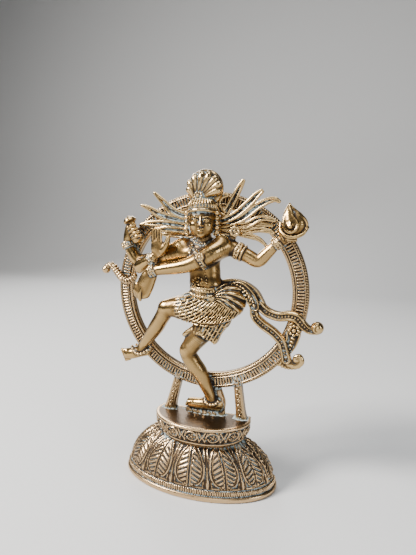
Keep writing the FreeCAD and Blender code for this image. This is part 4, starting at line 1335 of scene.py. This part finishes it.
def dress_up(made):
    record = frame["record"]
    slots = {row["node"]: row["material_slot"] for row in record["subparts"]}
    # colours of crests, body and hollows (patina with painted shade), then the shares of residue and wear,
    # and the roughness
    finishes = {
        "figure_brass": ((0.74, 0.50, 0.21), (0.24, 0.145, 0.053), (0.024, 0.014, 0.007), 0.4, 0.42, 0.33),
        "hair_brass": ((0.72, 0.50, 0.23), (0.17, 0.108, 0.046), (0.016, 0.011, 0.007), 0.7, 0.7, 0.36),
        "dress_brass": ((0.74, 0.51, 0.23), (0.18, 0.112, 0.045), (0.016, 0.011, 0.007), 0.5, 0.7, 0.35),
        "trim_brass": ((0.72, 0.50, 0.24), (0.17, 0.108, 0.046), (0.016, 0.011, 0.008), 0.7, 0.7, 0.37),
        "ring_brass": ((0.66, 0.45, 0.23), (0.125, 0.080, 0.038), (0.014, 0.010, 0.008), 0.6, 0.7, 0.38),
        "pedestal_brass": ((0.72, 0.49, 0.26), (0.088, 0.056, 0.03), (0.013, 0.01, 0.008), 0.8, 0.76, 0.38),
    }
    kinds = {name: brass(name, *finish) for name, finish in finishes.items()}
    for name, piece in made.items():
        piece.data.materials.clear()
        piece.data.materials.append(kinds[slots[name]])


# ---------------------------------------------------------------- floor, lights, camera

def floor():
    mesh = bpy.data.meshes.new("floor")
    wide, far, rise, bend = 1.6, 0.9, 1.4, 0.35
    rows = [(-1.2, 0.0)]
    for i in range(13):
        turn = math.pi / 2 * i / 12
        rows.append((far - bend + bend * math.sin(turn), bend - bend * math.cos(turn)))
    rows.append((far, rise))
    points = [(x, y, z) for y, z in rows for x in (-wide, wide)]
    faces = [(2 * i, 2 * i + 1, 2 * i + 3, 2 * i + 2) for i in range(len(rows) - 1)]
    mesh.from_pydata(points, [], faces)
    for polygon in mesh.polygons:
        polygon.use_smooth = True
    plane = bpy.data.objects.new("floor", mesh)
    bpy.context.collection.objects.link(plane)
    material = bpy.data.materials.new("floor_paper")
    material.use_nodes = True
    tree, make = node_maker(material)
    shader = tree.nodes["Principled BSDF"]
    grain = make("ShaderNodeTexNoise")
    grain.inputs["Scale"].default_value = 600
    where = make("ShaderNodeTexCoord")
    tree.links.new(where.outputs["Object"], grain.inputs["Vector"])
    tone = make("ShaderNodeMix", data_type="RGBA")
    tone.inputs[6].default_value = (0.50, 0.50, 0.50, 1)
    tone.inputs[7].default_value = (0.53, 0.53, 0.525, 1)
    tree.links.new(grain.outputs["Fac"], tone.inputs["Factor"])
    tree.links.new(tone.outputs[2], shader.inputs["Base Color"])
    shader.inputs["Roughness"].default_value = 0.85
    mesh.materials.append(material)


def area_light(name, place, target, size, power, tint=(1, 1, 1), size_y=None):
    data = bpy.data.lights.new(name, "AREA")
    data.energy = power
    data.color = tint
    data.size = size
    if size_y:
        data.shape = "RECTANGLE"
        data.size_y = size_y
    lamp = bpy.data.objects.new(name, data)
    lamp.location = place
    lamp.rotation_euler = (Vector(target) - Vector(place)).to_track_quat("-Z", "Y").to_euler()
    bpy.context.collection.objects.link(lamp)


def lights():
    middle = (0, 0, 0.07)
    area_light("window", (-0.42, -0.34, 0.50), middle, 0.20, 15.0, (1.0, 0.97, 0.93))
    area_light("sky", (0.05, -0.10, 0.80), middle, 0.40, 5.0, (0.94, 0.97, 1.0))
    area_light("front", (0.16, -0.80, 0.26), middle, 0.40, 1.5, (1.0, 0.99, 0.97))
    area_light("side", (0.62, -0.30, 0.22), middle, 0.22, 1.2, (0.96, 0.98, 1.0))
    area_light("rim", (-0.30, 0.55, 0.40), middle, 0.35, 3.0, (1, 1, 1))
    world = bpy.data.worlds.new("studio")
    world.use_nodes = True
    world.node_tree.nodes["Background"].inputs[0].default_value = (0.50, 0.53, 0.57, 1)
    world.node_tree.nodes["Background"].inputs[1].default_value = 0.09
    bpy.context.scene.world = world


def camera():
    """Seen from the right of the figure's front, a little above its head's height."""
    azimuth, elevation, roll = math.radians(17.903), math.radians(6.629), math.radians(1.299)
    distance, aim_x, aim_z = 0.166591, 0.002072, 0.083347
    back = Vector((math.sin(azimuth) * math.cos(elevation), -math.cos(azimuth) * math.cos(elevation),
                   math.sin(elevation)))
    right = Vector((math.cos(azimuth), math.sin(azimuth), 0))
    up = back.cross(right)
    across = right * math.cos(roll) + up * math.sin(roll)
    rise = up * math.cos(roll) - right * math.sin(roll)
    target = Vector((0, 0, aim_z)) + right * aim_x
    data = bpy.data.cameras.new("camera")
    data.lens = 27.24
    data.sensor_width = 36
    data.clip_start = 0.01
    rig = bpy.data.objects.new("camera", data)
    turn = Matrix((across, rise, back)).transposed()
    rig.matrix_world = Matrix.Translation(target + back * distance) @ turn.to_4x4()
    bpy.context.collection.objects.link(rig)
    bpy.context.scene.camera = rig


model()
dress_up(build_pieces())
floor()
lights()
camera()
